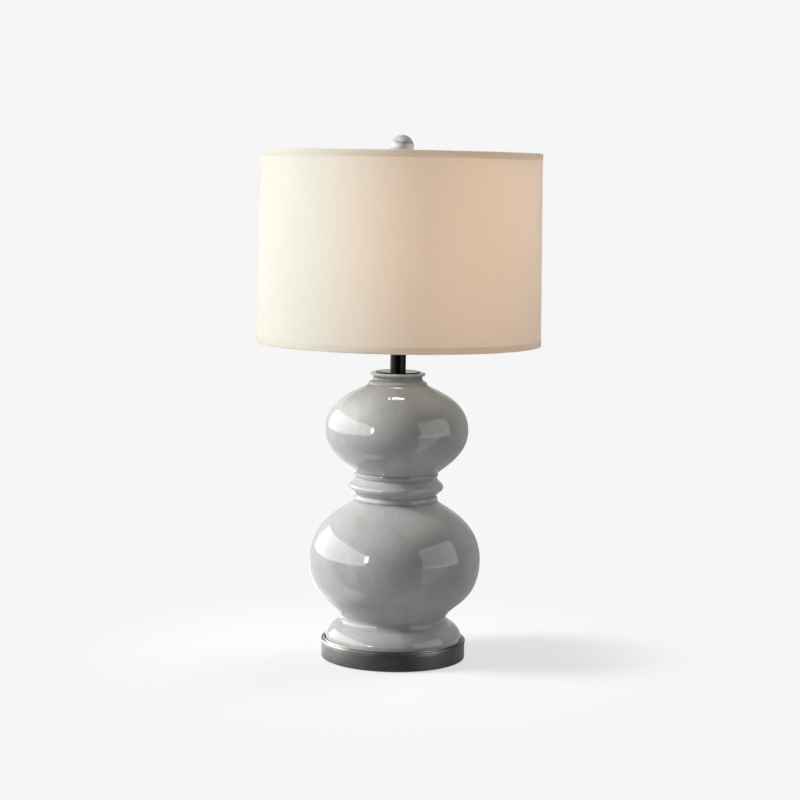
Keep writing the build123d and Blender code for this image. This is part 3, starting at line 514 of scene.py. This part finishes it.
# A bulb's curve to its belly: the slope where it starts, and its handles at the start and at the belly.
LOWER_BULB_LOW, LOWER_BULB_HIGH = (60.0, 18.0, 49.0), (55.0, 10.0, 50.0)
UPPER_BULB_LOW, UPPER_BULB_HIGH = (57.0, 5.0, 31.0), (55.0, 10.0, 43.0)
LOWER_HOLLOW_LOW, LOWER_HOLLOW_HIGH = (60.0, 16.0, 46.0), (50.0, 10.0, 46.0)
UPPER_HOLLOW_LOW, UPPER_HOLLOW_HIGH = (60.0, 5.0, 28.0), (20.0, 22.0, 36.0)
BULB_STEPS, HOLLOW_STEPS = 60, 16

# Degrees a millimetre where the glaze starts to thin on a ridge, or to darken in a hollow with pooled glaze
# and painted shade, and where it fully does.
THINS, POOLS_AND_SHADES = (4.0, 34.0), (2.0, 27.0)
THIN_WIDTH, POOL_AND_SHADE_WIDTH = 0.9, 1.3
TRUE_R = 36.0  # the ceramic is even inside this radius, where its cap sits


def swelling(end, belly, curve, steps):
    """Points of a bulb's outline from its end up to, and not with, its belly."""
    slope, near_end, near_belly = curve
    way = math.copysign(1, belly[1] - end[1])
    turn = math.radians(way * slope)
    leaving = (end[0] + near_end * math.cos(turn), end[1] + near_end * math.sin(turn))
    return bezier(end, leaving, (belly[0], belly[1] - way * near_belly), belly, steps)


def closing(belly, end, curve, steps):
    """The same curve from the belly up to, and not with, the end."""
    return [belly] + swelling(end, belly, curve, steps)[:0:-1]


def waist_outline():
    """The waist between the bulbs: a bead, a groove, the sharp ring, a groove and a bead."""
    made = bezier(WAIST_LOW, (52.5, 200.0), (52.4, 200.3), LOW_BEAD, 6)
    made += bezier(LOW_BEAD, (53.0, 203.8), (52.4, 206.2), LOW_GROOVE, 12)
    made += bezier(LOW_GROOVE, (52.8, 209.4), (54.6, 211.2), RING_LOW, 12)
    made += arc(RING_LOW, RING, RING_HIGH, 22)
    made += bezier(RING_HIGH, (54.6, 225.0), (52.6, 227.2), HIGH_GROOVE, 12)
    made += bezier(HIGH_GROOVE, (52.4, 230.6), (53.2, 233.0), HIGH_BEAD, 12)
    made += bezier(HIGH_BEAD, (52.5, 236.2), (52.6, 236.5), WAIST_HIGH, 6)
    return made


def gourd_outside():
    """The ceramic's outside, from the hole in its foot up to its mouth."""
    corner = 0.35  # how far the rounded edge stays inside the corner
    made = straight((FOOT_HOLE_R, FOOT_Z), (FOOT_R - FOOT_EDGE, FOOT_Z), 6)
    made += arc(
        (FOOT_R - FOOT_EDGE, FOOT_Z), (FOOT_R - corner, FOOT_Z + corner), (FOOT_R, FOOT_Z + FOOT_EDGE), 5
    )
    made += straight((FOOT_R, FOOT_Z + FOOT_EDGE), (FOOT_R, FOOT_SHOULDER_Z), 4)
    made += arc((FOOT_R, FOOT_SHOULDER_Z), FOOT_SHOULDER_MIDDLE, CREASE, 26)
    made += arc(CREASE, NECK, NECK_TOP, 22)
    made += swelling(NECK_TOP, LOWER_BELLY, LOWER_BULB_LOW, BULB_STEPS)
    made += closing(LOWER_BELLY, WAIST_LOW, LOWER_BULB_HIGH, BULB_STEPS)
    made += waist_outline()
    made += swelling(WAIST_HIGH, UPPER_BELLY, UPPER_BULB_LOW, BULB_STEPS)
    made += closing(UPPER_BELLY, COLLAR_FOOT, UPPER_BULB_HIGH, BULB_STEPS)
    made += arc(COLLAR_FOOT, COLLAR_RING_MIDDLE, COLLAR_RING_TOP, 8)
    made += straight(COLLAR_RING_TOP, COLLAR_STEP, 3)
    made += arc(COLLAR_STEP, COLLAR_GROOVE, COLLAR_LIP_START, 14)
    made += arc(COLLAR_LIP_START, COLLAR_LIP, COLLAR_TOP, 12)
    made += straight(COLLAR_TOP, (CERAMIC_HOLE_R, COLLAR_TOP[1]), 5)
    return made


def gourd_inside():
    """The ceramic's inside, from its mouth down to the hole in its foot."""
    upper_belly = (UPPER_BELLY[0] - CERAMIC_WALL, UPPER_BELLY[1])
    lower_belly = (LOWER_BELLY[0] - CERAMIC_WALL, LOWER_BELLY[1])
    mouth = (CERAMIC_HOLE_R, MOUTH_Z)
    waist_low, waist_high = ((WAIST_HOLE_R, z) for z in WAIST_HOLE_Z)
    neck_low, neck_high = ((NECK_HOLE_R, z) for z in NECK_HOLE_Z)
    foot_low, foot_high = ((FOOT_HOLLOW_R, z) for z in FOOT_HOLLOW_Z)
    made = straight((CERAMIC_HOLE_R, COLLAR_TOP[1]), mouth, 4)
    made += swelling(mouth, upper_belly, UPPER_HOLLOW_HIGH, HOLLOW_STEPS)
    made += closing(upper_belly, waist_high, UPPER_HOLLOW_LOW, HOLLOW_STEPS)
    made += straight(waist_high, waist_low, 4)
    made += swelling(waist_low, lower_belly, LOWER_HOLLOW_HIGH, HOLLOW_STEPS)
    made += closing(lower_belly, neck_high, LOWER_HOLLOW_LOW, HOLLOW_STEPS)
    made += [neck_high, neck_low, foot_high, foot_low, (FOOT_HOLE_R, foot_low[1])]
    return made


def gourd_wobble(radius, height, around):
    """Hand-made unevenness of the ceramic, in millimetres."""
    if radius < TRUE_R:
        return 0.0
    x, y = radius * math.sin(around), radius * math.cos(around)
    slow = noise.noise(Vector((x * 0.016, y * 0.016, height * 0.02)))
    fine = noise.noise(Vector((x * 0.05, y * 0.05, height * 0.06 + 9.0)))
    return 0.30 * slow + 0.07 * fine


def add_gourd(finish):
    outside = gourd_outside()
    outline = outside + gourd_inside()
    count = len(outside)
    turns = curvature(outline)
    ridge = [share_between(t, *THINS) if i < count else 0.0 for i, t in enumerate(turns)]
    # the hollow mark carries pooled glaze and painted shade in the creases
    hollow = [share_between(-t, *POOLS_AND_SHADES) if i < count else 0.0 for i, t in enumerate(turns)]
    marks = {"ridge": smoothed(ridge, outline, THIN_WIDTH), "hollow": smoothed(hollow, outline, POOL_AND_SHADE_WIDTH)}
    lathe(
        "gourd_glazed", outline, finish, "stand", "glaze", "gourd_body",
        steps=224, wobble=gourd_wobble, marks=marks, sharp=60.0,
    )


# ---------------------------------------------------------------- plinth

PLINTH_R = 90.6
PLINTH_INSIDE_R = 88.2
PLINTH_FOOT_Z = 0.8
RIM_Z = 20.3
BEAD_START, BEAD, BEAD_END = (89.95, 20.9), (91.3, 22.4), (89.2, 23.9)
LIP_BORE = 86.7
LIP_OUTSIDE_R = 88.0
LIP_TOP_Z = 25.2
LIP_EDGE_Z = 24.55
DECK_Z = (18.0, 20.4)
PIPE_HOLE_R = 5.3
RUBS_AND_HIGHLIGHTS = (12.0, 52.0)  # degrees a millimetre where an edge starts to be brightened by wear and painted highlight, and where it fully is
RUB_AND_HIGHLIGHT_WIDTH = 0.35
RUB_AND_HIGHLIGHT_FROM_R = 84.0  # further in, no edge is brightened by wear or painted highlight


def plinth_outline():
    """A wall, a bead under the rim, a thin rounded lip round the ceramic's foot, and the deck inside."""
    wall_low, wall_high, lip_edge = (PLINTH_R, 1.8), (PLINTH_R, RIM_Z), (LIP_BORE, LIP_EDGE_Z)
    deck_low, deck_high = DECK_Z
    outline = [(PLINTH_INSIDE_R, PLINTH_FOOT_Z)]
    outline += arc((89.6, PLINTH_FOOT_Z), (90.3, 1.1), wall_low, 5)
    outline += straight(wall_low, wall_high, 10)
    outline += arc(wall_high, (90.45, 20.75), BEAD_START, 3)
    outline += arc(BEAD_START, BEAD, BEAD_END, 14)
    outline += [(88.6, 23.95), (88.05, 24.1)]
    outline += arc((LIP_OUTSIDE_R, LIP_EDGE_Z), (87.35, LIP_TOP_Z), lip_edge, 8)
    outline += straight(lip_edge, (LIP_BORE, deck_high), 3)
    outline += straight((LIP_BORE, deck_high), (PIPE_HOLE_R, deck_high), 8)
    outline += [(PIPE_HOLE_R, deck_high), (PIPE_HOLE_R, deck_low), (PLINTH_INSIDE_R, deck_low)]
    return outline


def add_plinth(finish):
    """The turned metal plinth."""
    outline = plinth_outline()
    turns = curvature(outline)
    # the ridge mark: worn edges that also carry a painted highlight
    ridge = [share_between(t, *RUBS_AND_HIGHLIGHTS) if r > RUB_AND_HIGHLIGHT_FROM_R else 0.0 for t, (r, _) in zip(turns, outline)]
    lathe(
        "plinth_turned", outline, finish, "stand", "bronze", "base_plinth",
        steps=256, marks={"ridge": smoothed(ridge, outline, RUB_AND_HIGHLIGHT_WIDTH)}, sharp=35.0,
    )


# ---------------------------------------------------------------- shade

SHADE_LOW, SHADE_HIGH = 398.6, 635.2
SHADE_BOTTOM_R, SHADE_TOP_R = 178.0, 174.3
SHADE_STEPS = 256
DRUM_ROWS = 40
TAPE = 0.4
CLOTH = 0.7
LINING = 0.7
GLUE = 0.05  # between the cloth and the lining
TRIM = 8.0  # how far the tape reaches from the edge outside
TRIM_RETURN = 4.4  # and inside
RING_WIRE = 3.2
SEAM_WIDTH = 12.0
SEAM_ROWS, SEAM_COLUMNS = 60, 14
SEAM_INSET = 0.02  # how far the overlap's face lies inside the tape's face
SEAM_FOLD = 0.30  # how far its folded edges fall back


def shade_radius(height, inset):
    """The drum's radius at this height, this far inside the tape's face."""
    share = (height - SHADE_LOW) / (SHADE_HIGH - SHADE_LOW)
    return SHADE_BOTTOM_R + (SHADE_TOP_R - SHADE_BOTTOM_R) * share - inset


def drum_wobble(radius, height, around):
    """The cloth follows the drum with slight flats and swells."""
    swell = noise.noise(Vector((math.sin(around) * 2.2, math.cos(around) * 2.2, height * 0.008)))
    return 0.16 * swell - 0.06


def lining_wobble(radius, height, around):
    """The lining follows the cloth by half, and stays clear of it."""
    return drum_wobble(radius, height, around) * 0.5 - 0.06


def drum_layer(inset, thickness):
    """A closed outline of a conical layer, between the tapes."""
    low, high = SHADE_LOW + TAPE, SHADE_HIGH - TAPE
    climb = [low + (high - low) * i / DRUM_ROWS for i in range(DRUM_ROWS)] + [high]
    return [(shade_radius(z, inset), z) for z in climb] + [
        (shade_radius(z, inset + thickness), z) for z in reversed(climb)
    ]


def trim_wobble(seed):
    """The tape's cut edge wanders and its face puffs a little."""

    def wobble(radius, height, around):
        puff = noise.noise(Vector((math.sin(around) * 9.0, math.cos(around) * 9.0, height * 0.3 + seed)))
        return 0.10 * puff - 0.06

    return wobble


def trim_outline(edge, way):
    """The tape's section: folded over the shade's edge, down the outside and round the wire inside.
    way is 1 at the lower edge and -1 at the upper one."""
    inner = shade_radius(edge + way * 2.0, TAPE + CLOTH + LINING) - RING_WIRE
    faces_out = [
        (shade_radius(edge, 0.35), edge + way * 0.02),
        (shade_radius(edge, 0.05), edge + way * 0.35),
        (shade_radius(edge + way * 2.0, -0.02), edge + way * 2.0),
        (shade_radius(edge + way * 5.0, 0.0), edge + way * 5.0),
        (shade_radius(edge + way * (TRIM - 0.5), 0.02), edge + way * (TRIM - 0.5)),
        (shade_radius(edge + way * TRIM, 0.16), edge + way * TRIM),
        (shade_radius(edge + way * TRIM, TAPE), edge + way * (TRIM - 0.1)),
    ]
    under = [
        (shade_radius(edge + way * TAPE, TAPE), edge + way * TAPE),
        (inner + 0.1, edge + way * TAPE),
        (inner, edge + way * (TAPE + 0.1)),
        (inner, edge + way * TRIM_RETURN),
        (inner - TAPE, edge + way * (TRIM_RETURN - 0.1)),
        (inner - TAPE, edge + way * 0.5),
        (inner - 0.1, edge + way * 0.08),
    ]
    outline = faces_out + under
    return outline if way > 0 else outline[::-1]


def add_shade(cloth_finish, tape_finish, lining_finish):
    """The cloth, its lining, both tapes and the overlap at the back; returns the cloth and the overlap."""
    cloth_piece = lathe(
        "shade_cloth", drum_layer(TAPE, CLOTH), cloth_finish, "shade", "shade_linen", "shade_fabric",
        steps=SHADE_STEPS, wobble=drum_wobble,
    )
    lathe(
        "shade_lining", drum_layer(TAPE + CLOTH + GLUE, LINING - GLUE), lining_finish,
        "shade", "shade_lining", "shade_liner", steps=SHADE_STEPS, wobble=lining_wobble,
    )
    for name, edge, way, node in (
        ("shade_tape_low", SHADE_LOW, 1, "shade_bottom_trim"),
        ("shade_tape_high", SHADE_HIGH, -1, "shade_top_trim"),
    ):
        lathe(
            name, trim_outline(edge, way), tape_finish, "shade", "shade_tape", node,
            steps=SHADE_STEPS, wobble=trim_wobble(edge), sharp=75.0,
        )
    return cloth_piece, add_seam(cloth_finish)


def seam_point(i, k, under):
    """A point of the overlap: row i, column k, on its face or under it."""
    low, high = SHADE_LOW + TRIM, SHADE_HIGH - TRIM
    height = low + (high - low) * i / SEAM_ROWS
    share = k / SEAM_COLUMNS
    edge = min(share, 1 - share) * 2
    inset = TAPE + SEAM_INSET if under else SEAM_FOLD * (1 - min(edge * 5, 1.0)) ** 2
    sway = 0.25 * noise.noise(Vector((0.0, 0.0, height * 0.03)))
    around = math.pi + (SEAM_WIDTH * share + sway) / SHADE_BOTTOM_R
    return turned_point(shade_radius(height, inset + SEAM_INSET), height, around)


def add_seam(finish):
    """The cloth's overlap at the back: a strip with a soft folded edge."""
    across, along = SEAM_COLUMNS + 1, SEAM_ROWS + 1
    layer = along * across
    verts = [seam_point(i, k, under) for under in (False, True) for i in range(along) for k in range(across)]
    faces = []
    for i in range(SEAM_ROWS):
        for k in range(SEAM_COLUMNS):
            a = i * across + k
            faces.append((a, a + 1, a + 1 + across, a + across))
            faces.append((a + layer, a + across + layer, a + 1 + across + layer, a + 1 + layer))
        left, right = i * across, i * across + SEAM_COLUMNS
        faces.append((left, left + across, left + across + layer, left + layer))
        faces.append((right, right + layer, right + across + layer, right + across))
    for k in range(SEAM_COLUMNS):
        low, high = k, SEAM_ROWS * across + k
        faces.append((low, low + layer, low + 1 + layer, low + 1))
        faces.append((high, high + 1, high + 1 + layer, high + layer))
    mesh = smooth_mesh("shade_lap", verts, faces, 50)
    return put("shade_lap", mesh, finish, "shade", "shade_linen", "shade_seam")


# ---------------------------------------------------------------- finial

BALL_R = 14.6
BALL_Z = 641.5
BALL_FLAT_Z = 628.2
BALL_ROWS = 64


def add_finial(finish):
    """The polished ball with a small flat under it."""
    flat_r = math.sqrt(BALL_R**2 - (BALL_Z - BALL_FLAT_Z) ** 2)
    start = math.atan2(BALL_FLAT_Z - BALL_Z, flat_r)
    outline = [(0.0, BALL_FLAT_Z)]
    for i in range(BALL_ROWS):
        turn = start + (math.pi / 2 - start) * i / BALL_ROWS
        outline.append((BALL_R * math.cos(turn), BALL_Z + BALL_R * math.sin(turn)))
    outline.append((0.0, BALL_Z + BALL_R))
    lathe("finial_stone", outline, finish, "finial", "finial_stone", "finial_ball", steps=96)


# ---------------------------------------------------------------- stage

WHITE = 0.9216  # the photograph's background
FLOOR_SIZE = 60.0
FLOOR_NEAR, FLOOR_FAR = 0.20, 0.42  # where the lit floor gives way to the plain backdrop, from the axis
FLOOR_ALBEDO = 0.50
FLOOR_SHARE = 0.36  # how much of the floor's seen brightness is lamplight, and so keeps shadows
FLOOR_LIT = 0.88  # the lamplight on the open floor beside the lamp
PAPER_MOTTLE = 0.995
AMBIENT = (0.165, 0.170, 0.172)

# What the glaze mirrors: a room that is bright on one side and overhead, and the table under the lamp.
BRIGHT_SIDE = (-0.8, 0.6, 0.0)
ROOM_DIM, ROOM_BRIGHT = 0.11, 0.90
ROOM_TURNS = (0.05, 0.75)  # where, towards the bright side, the room starts to be bright and fully is
OVERHEAD = (0.55, 0.98)  # the same for the height
OVERHEAD_BRIGHT = 0.35
TABLE_EDGE = (0.22, 1.0, 0.19)  # the mirrored table ends in front, where 0.22 x + y is -0.19
TABLE_EDGE_SOFT = 0.004
TABLE_HALF = 0.5
TABLE_TONES = (
    (0.0, 0.26), (0.25, 0.40), (0.36, 0.62), (0.42, 0.16), (0.54, 0.06), (0.66, 0.14), (1.0, 0.08),
)  # from its left end to its right end
TABLE_GAIN = 3.0
BEYOND_SLANT = 0.7  # past the table's edge it is bright where x + 0.7 y is over 0
BEYOND_SOFT = 0.01
BEYOND_BRIGHT, BEYOND_DIM = 0.35, ROOM_DIM / 3


def light_paths(tree):
    """1 for what is seen directly, mirrored or through glass, and beside it 1 for what is seen directly."""
    path = add_node(tree, "ShaderNodeLightPath").outputs
    larger = {"operation": "MAXIMUM"}
    seen = add_node(tree, "ShaderNodeMath", larger, i0=path["Is Camera Ray"], i1=path["Is Glossy Ray"])
    seen = add_node(tree, "ShaderNodeMath", larger, i0=seen.outputs[0], i1=path["Is Transmission Ray"])
    return seen.outputs[0], path["Is Camera Ray"]


def emission(f, strength):
    return f.add("ShaderNodeEmission", Color=(1, 1, 1, 1), Strength=strength)


def floor_as_seen(f):
    """For the camera: pale paper that keeps the lamp's shadow, and a plain backdrop further out."""
    distance = f.add("ShaderNodeVectorMath", {"operation": "LENGTH"}, i0=f.place).outputs["Value"]
    far = ease(f.tree, distance, FLOOR_NEAR, FLOOR_FAR)
    paper = FLOOR_SHARE * WHITE / FLOOR_LIT
    tone = f.ramp(f.noise(3.0, 2.0), (0.0, paper * PAPER_MOTTLE), (1.0, paper))
    lit = f.add("ShaderNodeBsdfDiffuse", Color=tone)
    glow = emission(f, WHITE * (1 - FLOOR_SHARE))
    near = f.add("ShaderNodeAddShader", i0=lit.outputs[0], i1=glow.outputs[0])
    return f.add("ShaderNodeMixShader", i0=far, i1=near.outputs[0], i2=emission(f, WHITE).outputs[0])


def floor_as_mirrored(f):
    """In reflections: the table under the lamp, and the room's floor past its front edge."""
    place = f.add("ShaderNodeSeparateXYZ", Vector=f.place).outputs
    edge = f.math("ADD", f.math("MULTIPLY_ADD", place[0], TABLE_EDGE[0], place[1]), TABLE_EDGE[2])
    on_table = ease(f.tree, edge, -TABLE_EDGE_SOFT, TABLE_EDGE_SOFT, kind="LINEAR")
    across = ease(f.tree, place[0], -TABLE_HALF, TABLE_HALF, kind="LINEAR")
    slanted = f.math("MULTIPLY_ADD", place[1], BEYOND_SLANT, place[0])
    beyond = ease(f.tree, slanted, -BEYOND_SOFT, BEYOND_SOFT, BEYOND_DIM, BEYOND_BRIGHT, kind="LINEAR")
    return emission(f, f.math("MULTIPLY", f.mix(on_table, beyond, f.ramp(across, *TABLE_TONES)), TABLE_GAIN))


def add_floor():
    """A pale floor; for light on the object it is a plain matt surface."""
    mesh = bpy.data.meshes.new("floor")
    half = FLOOR_SIZE / 2
    corners = [(-half, -half, 0), (half, -half, 0), (half, half, 0), (-half, half, 0)]
    mesh.from_pydata(corners, [], [(0, 1, 2, 3)])
    floor = bpy.data.objects.new("floor", mesh)
    bpy.context.collection.objects.link(floor)
    f = Finish("floor")
    seen, camera_ray = light_paths(f.tree)
    mirrored, direct = floor_as_mirrored(f), floor_as_seen(f)
    shown = f.add("ShaderNodeMixShader", i0=camera_ray, i1=mirrored.outputs[0], i2=direct.outputs[0])
    bounce = f.add("ShaderNodeBsdfDiffuse", Color=(FLOOR_ALBEDO, FLOOR_ALBEDO, FLOOR_ALBEDO, 1))
    f.show(f.add("ShaderNodeMixShader", i0=seen, i1=bounce.outputs[0], i2=shown.outputs[0]))
    f.tree.nodes.remove(f.shader)
    mesh.materials.append(f.material)


def add_world():
    """A white backdrop for the camera, a softer room in reflections, and even light on the object."""
    world = bpy.data.worlds.new("studio")
    bpy.context.scene.world = world
    world.use_nodes = True
    tree = world.node_tree
    tree.nodes.clear()
    seen, camera_ray = light_paths(tree)
    way = add_node(tree, "ShaderNodeTexCoord").outputs["Generated"]
    towards = add_node(tree, "ShaderNodeVectorMath", {"operation": "DOT_PRODUCT"}, i0=way, i1=BRIGHT_SIDE)
    side = ease(tree, towards.outputs["Value"], *ROOM_TURNS, ROOM_DIM, ROOM_BRIGHT)
    height = add_node(tree, "ShaderNodeSeparateXYZ", Vector=way).outputs[2]
    above = ease(tree, height, *OVERHEAD, high=OVERHEAD_BRIGHT)
    room = add_node(tree, "ShaderNodeMath", {"operation": "ADD"}, i0=side, i1=above)
    room = add_node(tree, "ShaderNodeMath", {"operation": "MAXIMUM"}, i0=room.outputs[0], i1=camera_ray)
    white = (WHITE, WHITE, WHITE, 1)
    backdrop = add_node(tree, "ShaderNodeBackground", Color=white, Strength=room.outputs[0])
    ambient = add_node(tree, "ShaderNodeBackground", Color=(*AMBIENT, 1), Strength=1.0)
    mixed = add_node(tree, "ShaderNodeMixShader", i0=seen, i1=ambient.outputs[0], i2=backdrop.outputs[0])
    add_node(tree, "ShaderNodeOutputWorld", Surface=mixed.outputs[0])


# ---------------------------------------------------------------- lights

LAMP_MIDDLE = (0.0, 0.0, 0.3)
SHADE_MIDDLE = (0.0, 0.0, 0.52)
PLINTH_MIDDLE = (0.0, 0.0, 0.02)
DAYLIGHT = (0.95, 0.985, 1.0)
FILL_LIGHT = (0.97, 0.99, 1.0)
BULB_LIGHT = (1.0, 0.98, 0.95)
WASH_LIGHT = (1.0, 0.99, 0.97)
GLOW_PLAIN, GLOW_WARM = (0.93, 1.0, 1.0), (1.0, 0.50, 0.24)
WALL_MIDDLE_Z = 0.85


def add_area(name, at, aim, size, radiance, colour=(1, 1, 1), lights=True, shows=True):
    """A rectangular studio light. lights: it lights surfaces; shows: it shows in reflections."""
    data = bpy.data.lights.new(name, "AREA")
    data.shape = "RECTANGLE"
    data.size, data.size_y = size
    data.energy = radiance * math.pi * size[0] * size[1]
    data.color = colour
    lamp = bpy.data.objects.new(name, data)
    lamp.location = at
    lamp.rotation_euler = (Vector(at) - Vector(aim)).to_track_quat("Z", "Y").to_euler()
    lamp.visible_camera = False
    lamp.visible_transmission = False
    lamp.visible_diffuse = lights
    lamp.visible_glossy = shows
    bpy.context.collection.objects.link(lamp)
    return lamp


def out_from(centre, azimuth, elevation, distance):
    """A point seen from a centre; azimuth 0 is the front, and it grows towards the right."""
    a, e = math.radians(azimuth), math.radians(elevation)
    way = Vector((math.sin(a) * math.cos(e), -math.cos(a) * math.cos(e), math.sin(e)))
    return Vector(centre) + way * distance


def reach_only(lamp, *names):
    """A light that these pieces alone receive, and that nothing but the floor blocks."""
    linking = lamp.light_linking
    linking.receiver_collection = bpy.data.collections.new(lamp.name + "_receivers")
    linking.blocker_collection = bpy.data.collections.new(lamp.name + "_blockers")
    linking.blocker_collection.objects.link(bpy.data.objects["floor"])
    for name in names:
        linking.receiver_collection.objects.link(bpy.data.objects[name])


def add_plinth_sheen(azimuth, width, radiance):
    """A tall bright strip that the plinth alone mirrors."""
    at = out_from(PLINTH_MIDDLE, azimuth, elevation=13, distance=1.2)
    sheen = add_area("plinth_sheen", at, PLINTH_MIDDLE, (width, 0.5), radiance, lights=False)
    reach_only(sheen, "plinth_turned")


def add_bulb_glint(x, length):
    """A part of the bulb under the shade as the glaze mirrors it; the harp breaks it in two."""
    y, height = -0.0275, 0.400
    size = (length, 0.008)
    glint = add_area(
        "bulb_glint", (x, y, height), (x, y, 0.0), size, radiance=14.0, colour=BULB_LIGHT, lights=False
    )
    reach_only(glint, "gourd_glazed")


def add_shade_wash():
    """Soft light from inside the shade on the left shoulder of the upper bulb."""
    wash = add_area(
        "shade_wash", (-0.07, -0.05, 0.43), (-0.02, -0.03, 0.32), size=(0.09, 0.09), radiance=2.4,
        colour=WASH_LIGHT, shows=False,
    )
    reach_only(wash, "gourd_glazed")


def add_shade_glow(azimuth, radiance, colour, spread_angle):
    """Soft light behind the cloth on one side. It lights the cloth and tape alone."""
    at = out_from(SHADE_MIDDLE, azimuth + 180, elevation=0, distance=0.06)
    glow = add_area("shade_glow", at, SHADE_MIDDLE, (0.08, 0.36), radiance, colour, shows=False)
    glow.data.spread = math.radians(spread_angle)
    glow.data.cycles.use_multiple_importance_sampling = False
    reach_only(glow, "shade_cloth", "shade_lap", "shade_tape_low", "shade_tape_high")


def add_lights():
    add_area(
        "key", out_from(LAMP_MIDDLE, azimuth=-84, elevation=28, distance=5.0), LAMP_MIDDLE,
        size=(1.5, 1.5), radiance=44.0, colour=DAYLIGHT, shows=False,
    )
    add_area(
        "rear_fill", out_from(LAMP_MIDDLE, azimuth=128, elevation=24, distance=3.5), LAMP_MIDDLE,
        size=(2.4, 2.0), radiance=4.4, colour=FILL_LIGHT, shows=False,
    )
    # a long window wall on the left with a bright pane, and a dim panel on the right, which the glaze mirrors
    add_area(
        "window_wall", (-2.2, 0.0, WALL_MIDDLE_Z), (0.0, 0.0, WALL_MIDDLE_Z),
        size=(5.6, 1.45), radiance=3.5, lights=False,
    )
    add_area(
        "window_pane", out_from(LAMP_MIDDLE, azimuth=-38, elevation=10, distance=2.4), LAMP_MIDDLE,
        size=(0.20, 0.55), radiance=20.0, lights=False,
    )
    add_area(
        "panel", out_from(LAMP_MIDDLE, azimuth=66, elevation=15, distance=2.5), LAMP_MIDDLE,
        size=(2.6, 2.0), radiance=1.55, lights=False,
    )
    add_plinth_sheen(azimuth=-112, width=1.1, radiance=34.0)
    add_plinth_sheen(azimuth=62, width=0.14, radiance=18.0)
    add_bulb_glint(x=0.0013, length=0.0255)
    add_bulb_glint(x=-0.0170, length=0.0035)
    add_shade_wash()
    add_shade_glow(azimuth=-20, radiance=1.70, colour=GLOW_PLAIN, spread_angle=150)
    add_shade_glow(azimuth=120, radiance=0.75, colour=GLOW_PLAIN, spread_angle=180)
    add_shade_glow(azimuth=34, radiance=1.45, colour=GLOW_WARM, spread_angle=120)


# ---------------------------------------------------------------- the lamp

add_camera()
add_gourd(glaze())
add_plinth(bronze())
shade_cloth, shade_lap = add_shade(
    cloth("shade_linen", (0.835, 0.82, 0.77), (0.90, 0.89, 0.84), through=(0.96, 0.91, 0.84), share=0.50),
    cloth(
        "shade_tape", (0.78, 0.74, 0.65), (0.86, 0.82, 0.74), through=(0.90, 0.86, 0.78), share=0.36,
        pitch=TAPE_WEAVE, slub=0.7,
    ),
    lining(),
)
add_finial(stone())

black, black_light = (0.003, 0.003, 0.0035), (0.007, 0.007, 0.0075)
dress(metal("black_metal", black, black_light, 0.2, metallic=0.0, ior=1.2), "neck_tube", "neck_washer")
dress(metal("black_gloss", black, black_light, 0.1, metallic=0.0, ior=1.2), "vase_cap")
dress(
    metal("steel", (0.52, 0.52, 0.50), (0.68, 0.68, 0.66), 0.28),
    "bottom_cover", "cover_screws", "pipe_lower_washer", "pipe_lower_nut", "threaded_pipe",
    "saddle_lock_nut", "socket_set_screw",
)
dress(
    metal("nickel", (0.60, 0.59, 0.56), (0.74, 0.73, 0.70), 0.22),
    "harp_saddle", "harp_frame", "harp_sleeve_left", "harp_sleeve_right", "swivel_stud", "finial_base",
)
dress(
    metal("shell_brass", (0.62, 0.46, 0.24), (0.80, 0.62, 0.36), 0.27, grain=PRESSED),
    "socket_cap", "socket_shell",
)
dress(
    metal("brass", (0.66, 0.48, 0.22), (0.80, 0.62, 0.32), 0.3),
    "center_contact", "terminal_screws", "switch_spindle", "bulb_tip_contact",
)
dress(metal("aluminium", (0.62, 0.62, 0.62), (0.80, 0.80, 0.80), 0.3), "screw_shell", "bulb_screw_cap")
dress(moulded("cast_weight", (0.05, 0.05, 0.05), (0.12, 0.12, 0.12), 0.7, relief=0.0004), "base_weight")
dress(moulded("bushing_plastic", (0.02, 0.02, 0.02), (0.045, 0.045, 0.045), 0.45), "cord_inlet_bushing")
dress(moulded("rubber", (0.02, 0.02, 0.02), (0.05, 0.05, 0.05), 0.8), "foot_gasket")
dress(moulded("phenolic", (0.012, 0.010, 0.009), (0.035, 0.030, 0.026), 0.25), "socket_core", "switch_knob")
dress(moulded("board", (0.20, 0.14, 0.09), (0.38, 0.29, 0.20), 0.85), "socket_insulator")
dress(
    moulded("shade_wire", (0.70, 0.69, 0.66), (0.82, 0.81, 0.78), 0.4),
    "shade_bottom_ring", "shade_top_ring", "spider_hub", "spider_arms",
)
dress(moulded("bulb_insulator", (0.02, 0.02, 0.03), (0.05, 0.05, 0.06), 0.15), "bulb_insulator")
dress(felt(), "felt_pad")
dress(opal(), "bulb_globe")

add_floor()
add_world()
add_lights()
bpy.context.scene.view_settings.view_transform = "Standard"
